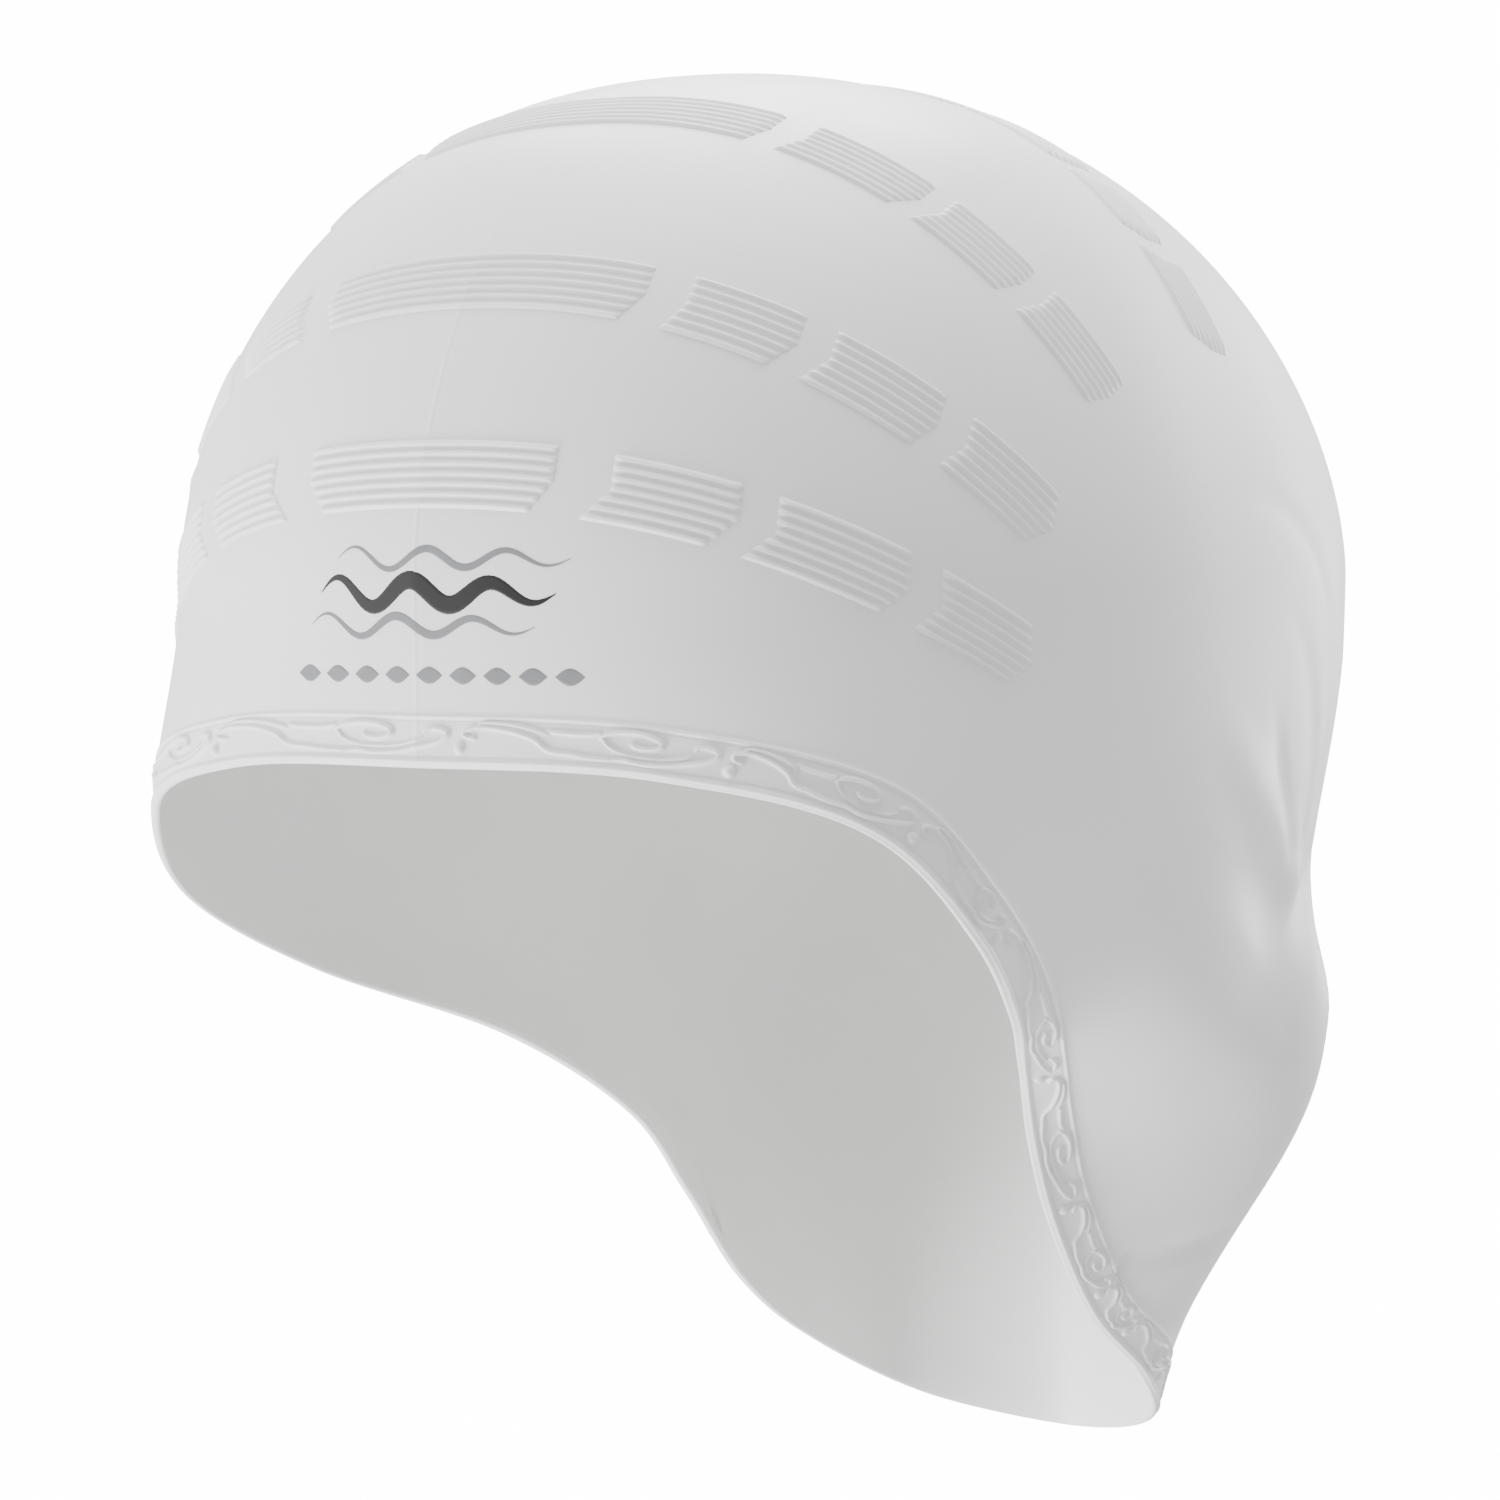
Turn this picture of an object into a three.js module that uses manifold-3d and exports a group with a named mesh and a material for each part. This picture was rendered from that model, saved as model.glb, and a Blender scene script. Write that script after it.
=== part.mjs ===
// Silicone swim cap with moulded ear pockets, one hollow moulding.
// Millimetres, +Z up. The wearer faces -Y and the wearer's left is +X.
// The origin is on the inside of the crown, where the cap sits on the head.

import * as THREE from "three";
import Module from "manifold-3d";

// Driving dimensions
const WALL = 1.0;
const HALF_WIDTH = 79.5;
const FRONT_REACH = 75;
const BACK_REACH = 104;
const BROW_DROP = 72;
const FOREHEAD_DROP = 96;
const NAPE_DROP = 211;

// Roundness of the dome: plan of the brow, and rise from the brow to the crown
const PLAN_POWER = 2.2;
const DOME_SPREAD_POWER = 2.3;
const DOME_RISE_POWER = 1.8;

// Ear pocket: a bulge on each side that leans back a little, with its middle, its reach
// each way and how roundly it fades out there
const POCKET_DEPTH = 9.2;
const POCKET_LEAN = 1;
const POCKET_HALF_LENGTH = 53;
const POCKET_RISE = 41;
const POCKET_FALL = 35;
const POCKET_MIDDLE = { reach: 0.407, drop: 0.484 };
const POCKET_FADE = { along: 1.87, above: 1.89, below: 1.04 };
const SIDE_BLEND = 20;

// Rim bead and the fine line that bounds the patterned band
const BEAD_WIDTH = 1.2;
const BEAD_RISE = 0.45;
const BAND_WIDTH = 6.4;
const LINE_WIDTH = 0.9;
const LINE_RISE = 0.35;

// Raised scrolls on the band: width of a stroke at its root in the wall, its rise over
// the wall, the depth of its root, and the ball that starts each scroll
const STROKE_WIDTH = 1.2;
const STROKE_RISE = 0.45;
const STROKE_ROOT = 0.45;
const BALL_RADIUS = 0.8;

// Ribbed blocks on the dome: width across the ribs, rise of ridges and valleys, root in
// the wall, and the line across the head about which the rows of blocks turn
const RIB_WIDTH = 9.1;
const RIB_COUNT = 7;
const RIB_STEP = 10;
const RIDGE_RISE = 0.6;
const VALLEY_RISE = 0.16;
const RIB_ROOT = 0.5;
const RIB_AXIS = { reach: 0.096, drop: 0.521 };

// Mesh density
const COLUMNS = 60;
const OUTER_ROWS = 16;
const INNER_ROWS = 12;
const SPARSE_ABOVE = 0.32;
const MERIDIAN_STEPS = 90;
const FACET_LIMIT = 0.03;

// Rim of the cap, from the forehead (turn 0) round to the nape (turn 180), one side.
// out: share of HALF_WIDTH. reach: share of FRONT_REACH ahead of the crown, where it is
// below 0, and of BACK_REACH behind it. drop: share of the way from FOREHEAD_DROP to
// NAPE_DROP. inward, forward and down: the way in which the wall runs as it meets the
// rim. hold: how long it keeps the way it had at the brow. pull: how strongly it takes
// the way it has at the rim.
const RIM_COLUMNS = ["turn", "out", "reach", "drop", "inward", "forward", "down", "hold", "pull"];
const RIM_ROWS = [
  [0, 0, -0.993, 0, 0, 0, 1, 1, 1],
  [22, 0.447, -0.933, 0.009, 0, 0, 1, 1, 1],
  [45, 0.774, -0.76, 0.078, 0, 0, 1, 1, 1],
  [60, 0.843, -0.587, 0.19, 0.25, 0.1, 0.95, 1, 1],
  [75, 0.755, -0.307, 0.295, 0.65, 0.3, 0.7, 1.1, 1.1],
  [90, 0.572, 0.038, 0.39, 0.86, 0.37, 0.3, 1.3, 1.2],
  [105, 0.453, 0.221, 0.505, 0.53, 0.83, 0.15, 1.31, 1.09],
  [120, 0.415, 0.332, 0.626, 0.59, 0.85, 0.1, 0.89, 1.27],
  [135, 0.403, 0.462, 0.757, 0.68, 0.62, 0.35, 0.81, 1.05],
  [150, 0.39, 0.635, 0.861, 0.53, 0.28, 0.75, 0.6, 1.05],
  [165, 0.27, 0.827, 0.957, 0.1, -0.1, 1, 1, 1],
  [180, 0, 0.942, 1, 0, -0.2, 1, 1.1, 1],
];
const MIRRORED_COLUMNS = ["out", "inward"];

// Dents where the silicone is drawn in behind the pocket: a line from start to end, with
// reach as a share of BACK_REACH and drop as a share of NAPE_DROP, and depths at its end
const DENTS = [
  {
    start: { reach: 0.52, drop: 0.42 },
    end: { reach: 0.676, drop: 0.55 },
    halfWidth: 21.5,
    inward: 3,
    forward: 2,
    startShare: 0.1,
  },
];

// Rows of ribbed blocks, from the brow up over the crown. angle: how far the row's first
// rib stands up from level ahead, in degrees. middle: half the block over the seam line,
// at its first and its last rib. blocks: start and end of each block beside it, at the
// first rib and at the last. All are shares of HALF_WIDTH.
const RIB_ROWS = [
  {
    angle: 34.7,
    middle: [0.258, 0.214],
    blocks: [
      [0.35, 0.555, 0.298, 0.504],
      [0.601, 0.775, 0.552, 0.738],
      [0.804, 0.898, 0.772, 0.877],
    ],
  },
  {
    angle: 49.4,
    middle: [0.336, 0.302],
    blocks: [
      [0.399, 0.584, 0.369, 0.548],
      [0.625, 0.779, 0.591, 0.753],
      [0.808, 0.911, 0.784, 0.887],
    ],
  },
  {
    angle: 68,
    middle: [0.365, 0.34],
    blocks: [
      [0.419, 0.628, 0.39, 0.594],
      [0.655, 0.787, 0.626, 0.77],
      [0.81, 0.913, 0.794, 0.901],
    ],
  },
  {
    angle: 94.8,
    middle: [0.365, 0.35],
    blocks: [
      [0.41, 0.6, 0.39, 0.58],
      [0.63, 0.755, 0.61, 0.735],
      [0.777, 0.892, 0.76, 0.88],
    ],
  },
];

// Where the scrolls start, from the middle of the forehead towards the wearer's left, as
// shares of the whole rim. The scrolls after the last of these are evenly spaced.
const SCROLL_STARTS = [
  -0.0714, 0.0123, 0.0802, 0.1229, 0.1595, 0.2652, 0.3302, 0.3643, 0.385, 0.4195,
];
const EVEN_SCROLLS = 8;

// Strokes of one scroll: share of its length, and share of the band's width from the rim
const BALL_ACROSS = 0.32;
const STROKES = [
  [
    [0.05, 0.55],
    [0.05, 0.76],
    [0.2, 0.74],
    [0.34, 0.32],
    [0.64, 0.24],
    [0.8, 0.27],
    [0.955, 0.58],
    [0.9, 0.73],
  ],
  [
    [0.56, 0.62],
    [0.62, 0.82],
    [0.75, 0.74],
    [0.7, 0.52],
  ],
];

const wasm = await Module();
wasm.setup();

const clamp = THREE.MathUtils.clamp;
const smooth = (x) => x * x * (3 - 2 * x);
const fade = (x, power) => clamp(1 - x * x, 0, 1) ** power;

// Lengths from the crown for the shares in the rim table
const reachAt = (share) => share * (share < 0 ? FRONT_REACH : BACK_REACH);
const dropAt = (share) => FOREHEAD_DROP + share * (NAPE_DROP - FOREHEAD_DROP);

// One column of the rim table as knots that go on past both ends by mirroring
function rimKnots(name) {
  const index = RIM_COLUMNS.indexOf(name);
  const sign = MIRRORED_COLUMNS.includes(name) ? -1 : 1;
  const measure = { reach: reachAt, drop: dropAt }[name] ?? ((value) => value);
  const inner = RIM_ROWS.map((row) => ({ turn: row[0], value: measure(row[index]) }));
  const before = inner.slice(1, 3).reverse();
  const after = inner.slice(-3, -1).reverse();
  return [
    ...before.map((k) => ({ turn: -k.turn, value: sign * k.value })),
    ...inner,
    ...after.map((k) => ({ turn: 360 - k.turn, value: sign * k.value })),
  ];
}

// Smooth curve through the knots of one column, read at any turn
function rimColumn(name) {
  const knots = rimKnots(name);
  const sign = MIRRORED_COLUMNS.includes(name) ? -1 : 1;
  const slope = knots.map((knot, i) => {
    if (i === 0 || i === knots.length - 1) return 0;
    const back = knot.turn - knots[i - 1].turn;
    const ahead = knots[i + 1].turn - knot.turn;
    const slopeBack = (knot.value - knots[i - 1].value) / back;
    const slopeAhead = (knots[i + 1].value - knot.value) / ahead;
    return (slopeBack * ahead + slopeAhead * back) / (back + ahead);
  });
  return (turn) => {
    const size = Math.abs(turn);
    let i = 1;
    while (i < knots.length - 3 && size >= knots[i + 1].turn) i += 1;
    const span = knots[i + 1].turn - knots[i].turn;
    const t = (size - knots[i].turn) / span;
    const value = hermite(t, knots[i].value, slope[i] * span, knots[i + 1].value, slope[i + 1] * span);
    return turn < 0 ? sign * value : value;
  };
}

function hermite(t, start, startSlope, end, endSlope) {
  const t2 = t * t;
  const t3 = t2 * t;
  return (
    (2 * t3 - 3 * t2 + 1) * start +
    (t3 - 2 * t2 + t) * startSlope +
    (3 * t2 - 2 * t3) * end +
    (t3 - t2) * endSlope
  );
}

const rim = Object.fromEntries(RIM_COLUMNS.slice(1).map((name) => [name, rimColumn(name)]));

// Plan outline of the brow, scaled by a share of its size
function browPlan(turn, share) {
  const angle = THREE.MathUtils.degToRad(turn);
  const side = Math.sign(Math.sin(angle)) * Math.abs(Math.sin(angle)) ** (2 / PLAN_POWER);
  const fore = Math.sign(Math.cos(angle)) * Math.abs(Math.cos(angle)) ** (2 / PLAN_POWER);
  const reach = fore > 0 ? FRONT_REACH : BACK_REACH;
  return new THREE.Vector2(HALF_WIDTH * share * side, -reach * share * fore);
}

// Dome above the brow; way runs from 0 at the crown to 1 at the brow
function domePoint(turn, way) {
  const rise = Math.cos((way * Math.PI) / 2) ** (2 / DOME_RISE_POWER);
  const spread = (1 - rise ** DOME_RISE_POWER) ** (1 / DOME_SPREAD_POWER);
  const plan = browPlan(turn, spread);
  return new THREE.Vector3(plan.x, plan.y, -BROW_DROP * (1 - rise));
}

// Wall from the brow down to the rim; way runs from 0 at the brow to 1 at the rim
function skirtPoint(turn, way) {
  const plan = browPlan(turn, 1);
  const start = new THREE.Vector3(plan.x, plan.y, -BROW_DROP);
  const end = new THREE.Vector3(rim.out(turn) * HALF_WIDTH, rim.reach(turn), -rim.drop(turn));
  const length = start.distanceTo(end);
  const startSlope = new THREE.Vector3(0, 0, -length * rim.hold(turn));
  const endSlope = new THREE.Vector3(-rim.inward(turn), -rim.forward(turn), -rim.down(turn));
  endSlope.setLength(length * rim.pull(turn));
  const along = (axis) => hermite(way, start[axis], startSlope[axis], end[axis], endSlope[axis]);
  return new THREE.Vector3(along("x"), along("y"), along("z"));
}

// Ear pocket and dents, added to a point of the plain wall; they fade out towards the rim
function shapeSide(point, way) {
  const side = Math.tanh(point.x / SIDE_BLEND);
  const edge = 1 - smooth(clamp((way - 0.6) / 0.4, 0, 1));
  const alongShare = (point.y - POCKET_MIDDLE.reach * BACK_REACH) / POCKET_HALF_LENGTH;
  const below = -point.z - dropAt(POCKET_MIDDLE.drop);
  const fadeAbove = fade(below / POCKET_RISE, POCKET_FADE.above);
  const fadeBelow = fade(below / POCKET_FALL, POCKET_FADE.below);
  const bulge = fade(alongShare, POCKET_FADE.along) * (below < 0 ? fadeAbove : fadeBelow) * edge;
  point.x += side * POCKET_DEPTH * bulge;
  point.y += POCKET_LEAN * bulge;
  for (const dent of DENTS) {
    const start = new THREE.Vector2(dent.start.reach * BACK_REACH, dent.start.drop * NAPE_DROP);
    const line = new THREE.Vector2(dent.end.reach * BACK_REACH, dent.end.drop * NAPE_DROP).sub(start);
    const here = new THREE.Vector2(point.y, -point.z).sub(start);
    const t = clamp(here.dot(line) / line.lengthSq(), 0, 1);
    const away = here.addScaledVector(line, -t).length() / dent.halfWidth;
    const share = fade(away, 2) * (dent.startShare + (1 - dent.startShare) * t) * edge;
    point.x -= side * dent.inward * share;
    point.y -= dent.forward * share;
  }
  return point;
}

// Outer surface; way runs from 0 at the crown through 0.5 at the brow to 1 at the rim
function capPoint(turn, way) {
  const down = clamp(2 * way - 1, 0, 1);
  const point = way <= 0.5 ? domePoint(turn, 2 * way) : skirtPoint(turn, down);
  shapeSide(point, down);
  point.z += WALL;
  return point;
}

function capNormal(turn, way) {
  if (way < 1e-6) return new THREE.Vector3(0, 0, 1);
  const step = 1e-3;
  const lower = Math.min(way + step, 1);
  const alongTurn = capPoint(turn + 0.2, way).sub(capPoint(turn - 0.2, way));
  const alongWay = capPoint(turn, lower).sub(capPoint(turn, lower - 2 * step));
  return alongWay.cross(alongTurn).normalize();
}

// One meridian as a list of ways and their lengths back from the rim
function meridian(turn) {
  const steps = [];
  let length = 0;
  let last = capPoint(turn, 1);
  for (let i = MERIDIAN_STEPS; i >= 0; i -= 1) {
    const way = i / MERIDIAN_STEPS;
    const point = capPoint(turn, way);
    length += point.distanceTo(last);
    steps.push({ way, length });
    last = point;
  }
  return steps;
}

// How a meridian meets the rim: its run square to the rim and its run along the rim, for
// each length of its own
function meeting(turn) {
  const alongRim = capPoint(turn + 0.2, 1).sub(capPoint(turn - 0.2, 1)).normalize();
  const downWall = capPoint(turn, 1).sub(capPoint(turn, 1 - 1 / MERIDIAN_STEPS)).normalize();
  return { square: alongRim.clone().cross(downWall).length(), along: alongRim.dot(downWall) };
}

// The way at a given distance from the rim, measured square to the rim
function wayFromRim(turn, distance) {
  const steps = meridian(turn);
  const length = distance / meeting(turn).square;
  let i = 1;
  while (i < steps.length - 1 && steps[i].length < length) i += 1;
  const t = (length - steps[i - 1].length) / (steps[i].length - steps[i - 1].length);
  return THREE.MathUtils.lerp(steps[i - 1].way, steps[i].way, t);
}

// Cross-section of the band: distance from the rim and rise above the plain wall
const BAND_PROFILE = [
  { distance: 0, rise: BEAD_RISE / 2 },
  { distance: BEAD_WIDTH * 0.3, rise: BEAD_RISE },
  { distance: BEAD_WIDTH * 0.7, rise: BEAD_RISE },
  { distance: BEAD_WIDTH, rise: 0 },
  { distance: BAND_WIDTH - LINE_WIDTH / 2, rise: 0 },
  { distance: BAND_WIDTH, rise: LINE_RISE },
  { distance: BAND_WIDTH + LINE_WIDTH / 2, rise: 0 },
];

// Turns of one ring; near the crown every second one is left out
function ringTurns(way) {
  const columns = way < SPARSE_ABOVE ? COLUMNS / 2 : COLUMNS;
  return Array.from({ length: columns }, (_, i) => (360 * i) / columns - 180);
}

// Rings of points round the outside, from the rim up to the crown
function outerRings() {
  const rings = BAND_PROFILE.map(({ distance, rise }) =>
    ringTurns(1).map((turn) => {
      const { at, normal } = wallPoint(turn, wayFromRim(turn, distance));
      return at.addScaledVector(normal, rise);
    })
  );
  for (let row = 1; row < OUTER_ROWS; row += 1) {
    const share = 1 - row / OUTER_ROWS;
    const top = (turn) => wayFromRim(turn, BAND_WIDTH + LINE_WIDTH / 2);
    rings.push(ringTurns(share).map((turn) => capPoint(turn, top(turn) * share)));
  }
  return rings;
}

// Rings of points round the inside, from the crown down to the rim
function innerRings() {
  const rings = [];
  for (let row = 1; row <= INNER_ROWS; row += 1) {
    const way = row / INNER_ROWS;
    const inside = ({ at, normal }) => at.addScaledVector(normal, -WALL);
    rings.push(ringTurns(way).map((turn) => inside(wallPoint(turn, way))));
  }
  return rings;
}

// Faces between two neighbouring rings, where one may have half as many points
function stitch(from, to) {
  const faces = [];
  const steps = Math.min(from.length, to.length);
  const ratioFrom = from.length / steps;
  const ratioTo = to.length / steps;
  for (let i = 0; i < steps; i += 1) {
    const a = from[i * ratioFrom];
    const b = from[((i + 1) * ratioFrom) % from.length];
    const c = to[((i + 1) * ratioTo) % to.length];
    const d = to[i * ratioTo];
    if (ratioFrom === 2) {
      const middle = from[2 * i + 1];
      faces.push([a, middle, d], [middle, c, d], [middle, b, c]);
    } else if (ratioTo === 2) {
      const middle = to[2 * i + 1];
      faces.push([a, b, middle], [a, middle, d], [b, c, middle]);
    } else {
      faces.push([a, b, c], [a, c, d]);
    }
  }
  return faces;
}

// Closed shell: outside from the crown's top to the rim, then inside back to the crown
function shellSolid() {
  const points = [];
  const numbered = (ring) => ring.map((point) => points.push(point) - 1);
  const rings = [...innerRings(), ...outerRings()].map(numbered);
  const [innerCrown, outerCrown] = numbered([new THREE.Vector3(), new THREE.Vector3(0, 0, WALL)]);
  const faces = [];
  for (let i = 0; i + 1 < rings.length; i += 1) faces.push(...stitch(rings[i], rings[i + 1]));
  const first = rings[0];
  const last = rings[rings.length - 1];
  first.forEach((point, i) => faces.push([innerCrown, first[(i + 1) % first.length], point]));
  last.forEach((point, i) => faces.push([point, last[(i + 1) % last.length], outerCrown]));
  return solid(points, faces);
}

// Closed solid from points and triangles that face outwards
function solid(points, faces) {
  const mesh = new wasm.Mesh({
    numProp: 3,
    vertProperties: new Float32Array(points.flatMap((p) => p.toArray())),
    triVerts: new Uint32Array(faces.flat()),
  });
  return new wasm.Manifold(mesh);
}

// A point of the wall with its normal
function wallPoint(turn, way) {
  return { at: capPoint(turn, way), normal: capNormal(turn, way) };
}

// Strip of sections that all have the same closed outline, with a triangle list that
// closes its two ends
function sweep(sections, capFaces) {
  const points = sections.flat();
  const count = sections[0].length;
  const last = (sections.length - 1) * count;
  const faces = [];
  for (let s = 0; s + 1 < sections.length; s += 1) {
    for (let i = 0; i < count; i += 1) {
      const a = s * count + i;
      const b = s * count + ((i + 1) % count);
      faces.push([a, a + count, b + count], [a, b + count, b]);
    }
  }
  capFaces.forEach(([a, b, c]) => faces.push([a, b, c], [last + a, last + c, last + b]));
  return solid(points, faces);
}

// Length of the rim and the turn at each share of it, from the middle of the forehead
function rimLine() {
  const steps = [{ turn: 0, length: 0 }];
  for (let turn = 1; turn <= 360; turn += 1) {
    const last = steps[steps.length - 1];
    const from = capPoint(wrapTurn(last.turn), 1);
    steps.push({ turn, length: last.length + from.distanceTo(capPoint(wrapTurn(turn), 1)) });
  }
  const whole = steps[steps.length - 1].length;
  const turnAt = (share) => {
    const length = (share - Math.floor(share)) * whole;
    const i = steps.findIndex((step) => step.length >= length) || 1;
    const t = (length - steps[i - 1].length) / (steps[i].length - steps[i - 1].length);
    return wrapTurn(steps[i - 1].turn + t);
  };
  return { whole, turnAt };
}

const wrapTurn = (turn) => (turn > 180 ? turn - 360 : turn);

// One raised stroke along points of the band, three-sided, rooted in the wall
function stroke(walls) {
  const sections = walls.map(({ at, normal }, i) => {
    const before = walls[Math.max(i - 1, 0)].at;
    const after = walls[Math.min(i + 1, walls.length - 1)].at;
    const way = after.clone().sub(before).normalize();
    const side = way.cross(normal).setLength(STROKE_WIDTH / 2);
    const root = at.clone().addScaledVector(normal, -STROKE_ROOT);
    return [root.clone().add(side), at.clone().addScaledVector(normal, STROKE_RISE), root.sub(side)];
  });
  return sweep(sections, [[0, 1, 2]]);
}

// Small four-sided ball top, rooted in the wall
function ball({ at, normal }) {
  const east = new THREE.Vector3(0, 0, 1).cross(normal).normalize();
  const north = normal.clone().cross(east);
  const ring = (radius, rise) =>
    [0, 1, 2, 3].map((i) => {
      const angle = (i * Math.PI) / 2;
      const out = east.clone().multiplyScalar(Math.cos(angle) * radius);
      out.addScaledVector(north, Math.sin(angle) * radius);
      return out.add(at).addScaledVector(normal, rise);
    });
  const fan = [[0, 1, 2], [0, 2, 3]];
  return sweep([ring(BALL_RADIUS * 0.5, STROKE_RISE), ring(BALL_RADIUS, -STROKE_ROOT)], fan);
}

// All scrolls round the band
function scrolls() {
  const { whole, turnAt } = rimLine();
  const last = SCROLL_STARTS[SCROLL_STARTS.length - 1];
  const even = (1 + SCROLL_STARTS[0] - last) / (EVEN_SCROLLS + 1);
  const starts = [...SCROLL_STARTS];
  for (let i = 1; i <= EVEN_SCROLLS + 1; i += 1) starts.push(last + i * even);
  const solids = [];
  for (let i = 0; i + 1 < starts.length; i += 1) {
    const wallAt = ([along, across]) => {
      const share = THREE.MathUtils.lerp(starts[i], starts[i + 1], along);
      const distance = across * BAND_WIDTH;
      const meet = meeting(turnAt(share));
      const turn = turnAt(share + (distance * meet.along) / meet.square / whole);
      return wallPoint(turn, wayFromRim(turn, distance));
    };
    solids.push(ball(wallAt([0, BALL_ACROSS])));
    STROKES.forEach((points) => solids.push(stroke(points.map(wallAt))));
  }
  return solids;
}

// The wall at a distance x from the seam line and an angle about the rib axis
function wallAtAngle(x, degrees) {
  const angle = THREE.MathUtils.degToRad(degrees);
  const axis = new THREE.Vector2(RIB_AXIS.reach * BACK_REACH, -RIB_AXIS.drop * NAPE_DROP);
  const miss = (turn, way) => {
    const p = capPoint(turn, way);
    const off = (p.z - axis.y) * Math.cos(angle) - (axis.x - p.y) * Math.sin(angle);
    return new THREE.Vector2(p.x - x, off);
  };
  const ahead = -(axis.x + axis.y * Math.cos(angle));
  const out = new THREE.Vector2(x / HALF_WIDTH, ahead / (ahead > 0 ? FRONT_REACH : BACK_REACH));
  let turn = THREE.MathUtils.radToDeg(Math.atan2(out.x, out.y));
  let way = 0.5 * clamp(out.length(), 0.02, 0.9);
  for (let i = 0; i < 12; i += 1) {
    const here = miss(turn, way);
    const byTurn = miss(turn + 0.05, way).sub(here).divideScalar(0.05);
    const byWay = miss(turn, way + 1e-4).sub(here).divideScalar(1e-4);
    const scale = byTurn.x * byWay.y - byTurn.y * byWay.x;
    turn -= clamp((here.x * byWay.y - here.y * byWay.x) / scale, -20, 20);
    way = clamp(way - (byTurn.x * here.y - byTurn.y * here.x) / scale, 0.02, 0.95);
  }
  const wall = wallPoint(turn, way);
  return { ...wall, radius: Math.hypot(wall.at.y - axis.x, wall.at.z - axis.y) };
}

// One ribbed block; ends are its start and end at the first and the last rib
function ribBlock(angle, [firstStart, firstEnd, lastStart, lastEnd]) {
  const length = (firstEnd - firstStart) * HALF_WIDTH;
  const pieces = Math.ceil(length / RIB_STEP);
  const points = 2 * RIB_COUNT;
  const sections = [];
  for (let s = 0; s <= pieces; s += 1) {
    const section = [];
    for (let i = 0; i <= points; i += 1) {
      const across = i / points;
      const back = Math.max(0, 2 * across - 1);
      const start = THREE.MathUtils.lerp(firstStart, lastStart, back);
      const end = THREE.MathUtils.lerp(firstEnd, lastEnd, back);
      const x = THREE.MathUtils.lerp(end, start, s / pieces) * HALF_WIDTH;
      const { radius } = wallAtAngle(x, angle);
      const offset = RIB_WIDTH * (across - 0.5 / RIB_COUNT);
      const { at, normal } = wallAtAngle(x, angle - THREE.MathUtils.radToDeg(offset / radius));
      const rise = i % 2 === 1 ? RIDGE_RISE : VALLEY_RISE;
      section.push(at.clone().addScaledVector(normal, rise));
      if (i === 0) section.unshift(at.clone().addScaledVector(normal, -RIB_ROOT));
      if (i === points) section.push(at.addScaledVector(normal, -RIB_ROOT));
    }
    sections.push(section);
  }
  return sweep(sections, ribEnd());
}

// Triangles that close the end of a ribbed block: its foot, the bow up to the valleys,
// and one for each ridge
function ribEnd() {
  const left = 0;
  const right = 2 * RIB_COUNT + 2;
  const valley = (i) => 1 + 2 * i;
  const faces = [[left, valley(0), valley(RIB_COUNT)], [left, valley(RIB_COUNT), right]];
  for (let i = 0; i < RIB_COUNT; i += 1) {
    faces.push([valley(i), valley(i) + 1, valley(i + 1)]);
    if (i > 0) faces.push([valley(0), valley(i), valley(i + 1)]);
  }
  return faces;
}

function ribs() {
  const solids = [];
  for (const { angle, middle, blocks } of RIB_ROWS) {
    solids.push(ribBlock(angle, [-middle[0], middle[0], -middle[1], middle[1]]));
    for (const [a, b, c, d] of blocks) {
      solids.push(ribBlock(angle, [a, b, c, d]), ribBlock(angle, [-b, -a, -d, -c]));
    }
  }
  return solids;
}

// The finished moulding as one geometry
function capGeometry() {
  const whole = wasm.Manifold.union([shellSolid(), ...ribs(), ...scrolls()]);
  const mesh = whole.simplify(FACET_LIMIT).getMesh();
  const geometry = new THREE.BufferGeometry();
  geometry.setAttribute("position", new THREE.BufferAttribute(mesh.vertProperties, 3));
  geometry.setIndex(new THREE.BufferAttribute(mesh.triVerts, 1));
  return geometry;
}

const silicone = new THREE.MeshStandardMaterial({ color: "#e6e6e6", roughness: 0.45, metalness: 0 });

const cap = new THREE.Group();
const shell = new THREE.Mesh(capGeometry(), silicone);
shell.name = "cap_shell";
cap.add(shell);

export default cap;
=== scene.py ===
"""Silicone swim cap with ear pockets: skin, raised scroll band, ribbed blocks and print."""

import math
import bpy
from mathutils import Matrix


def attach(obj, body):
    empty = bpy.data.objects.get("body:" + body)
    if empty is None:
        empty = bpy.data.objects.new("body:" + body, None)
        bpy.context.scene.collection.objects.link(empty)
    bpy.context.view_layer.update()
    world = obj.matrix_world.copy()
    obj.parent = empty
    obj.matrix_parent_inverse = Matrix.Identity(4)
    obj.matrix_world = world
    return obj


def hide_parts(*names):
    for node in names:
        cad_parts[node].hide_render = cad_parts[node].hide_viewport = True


bl_info = {
    "name": "Silicone Swim Cap",
    "version": (1, 0, 0),
    "blender": (4, 5, 0),
    "location": "View3D > Sidebar > Swim Cap",
    "description": "Builds a moulded silicone swim cap on its packed CAD shell",
    "category": "Add Mesh",
}

import bmesh
import bpy
import numpy as np
from mathutils import Vector

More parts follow.
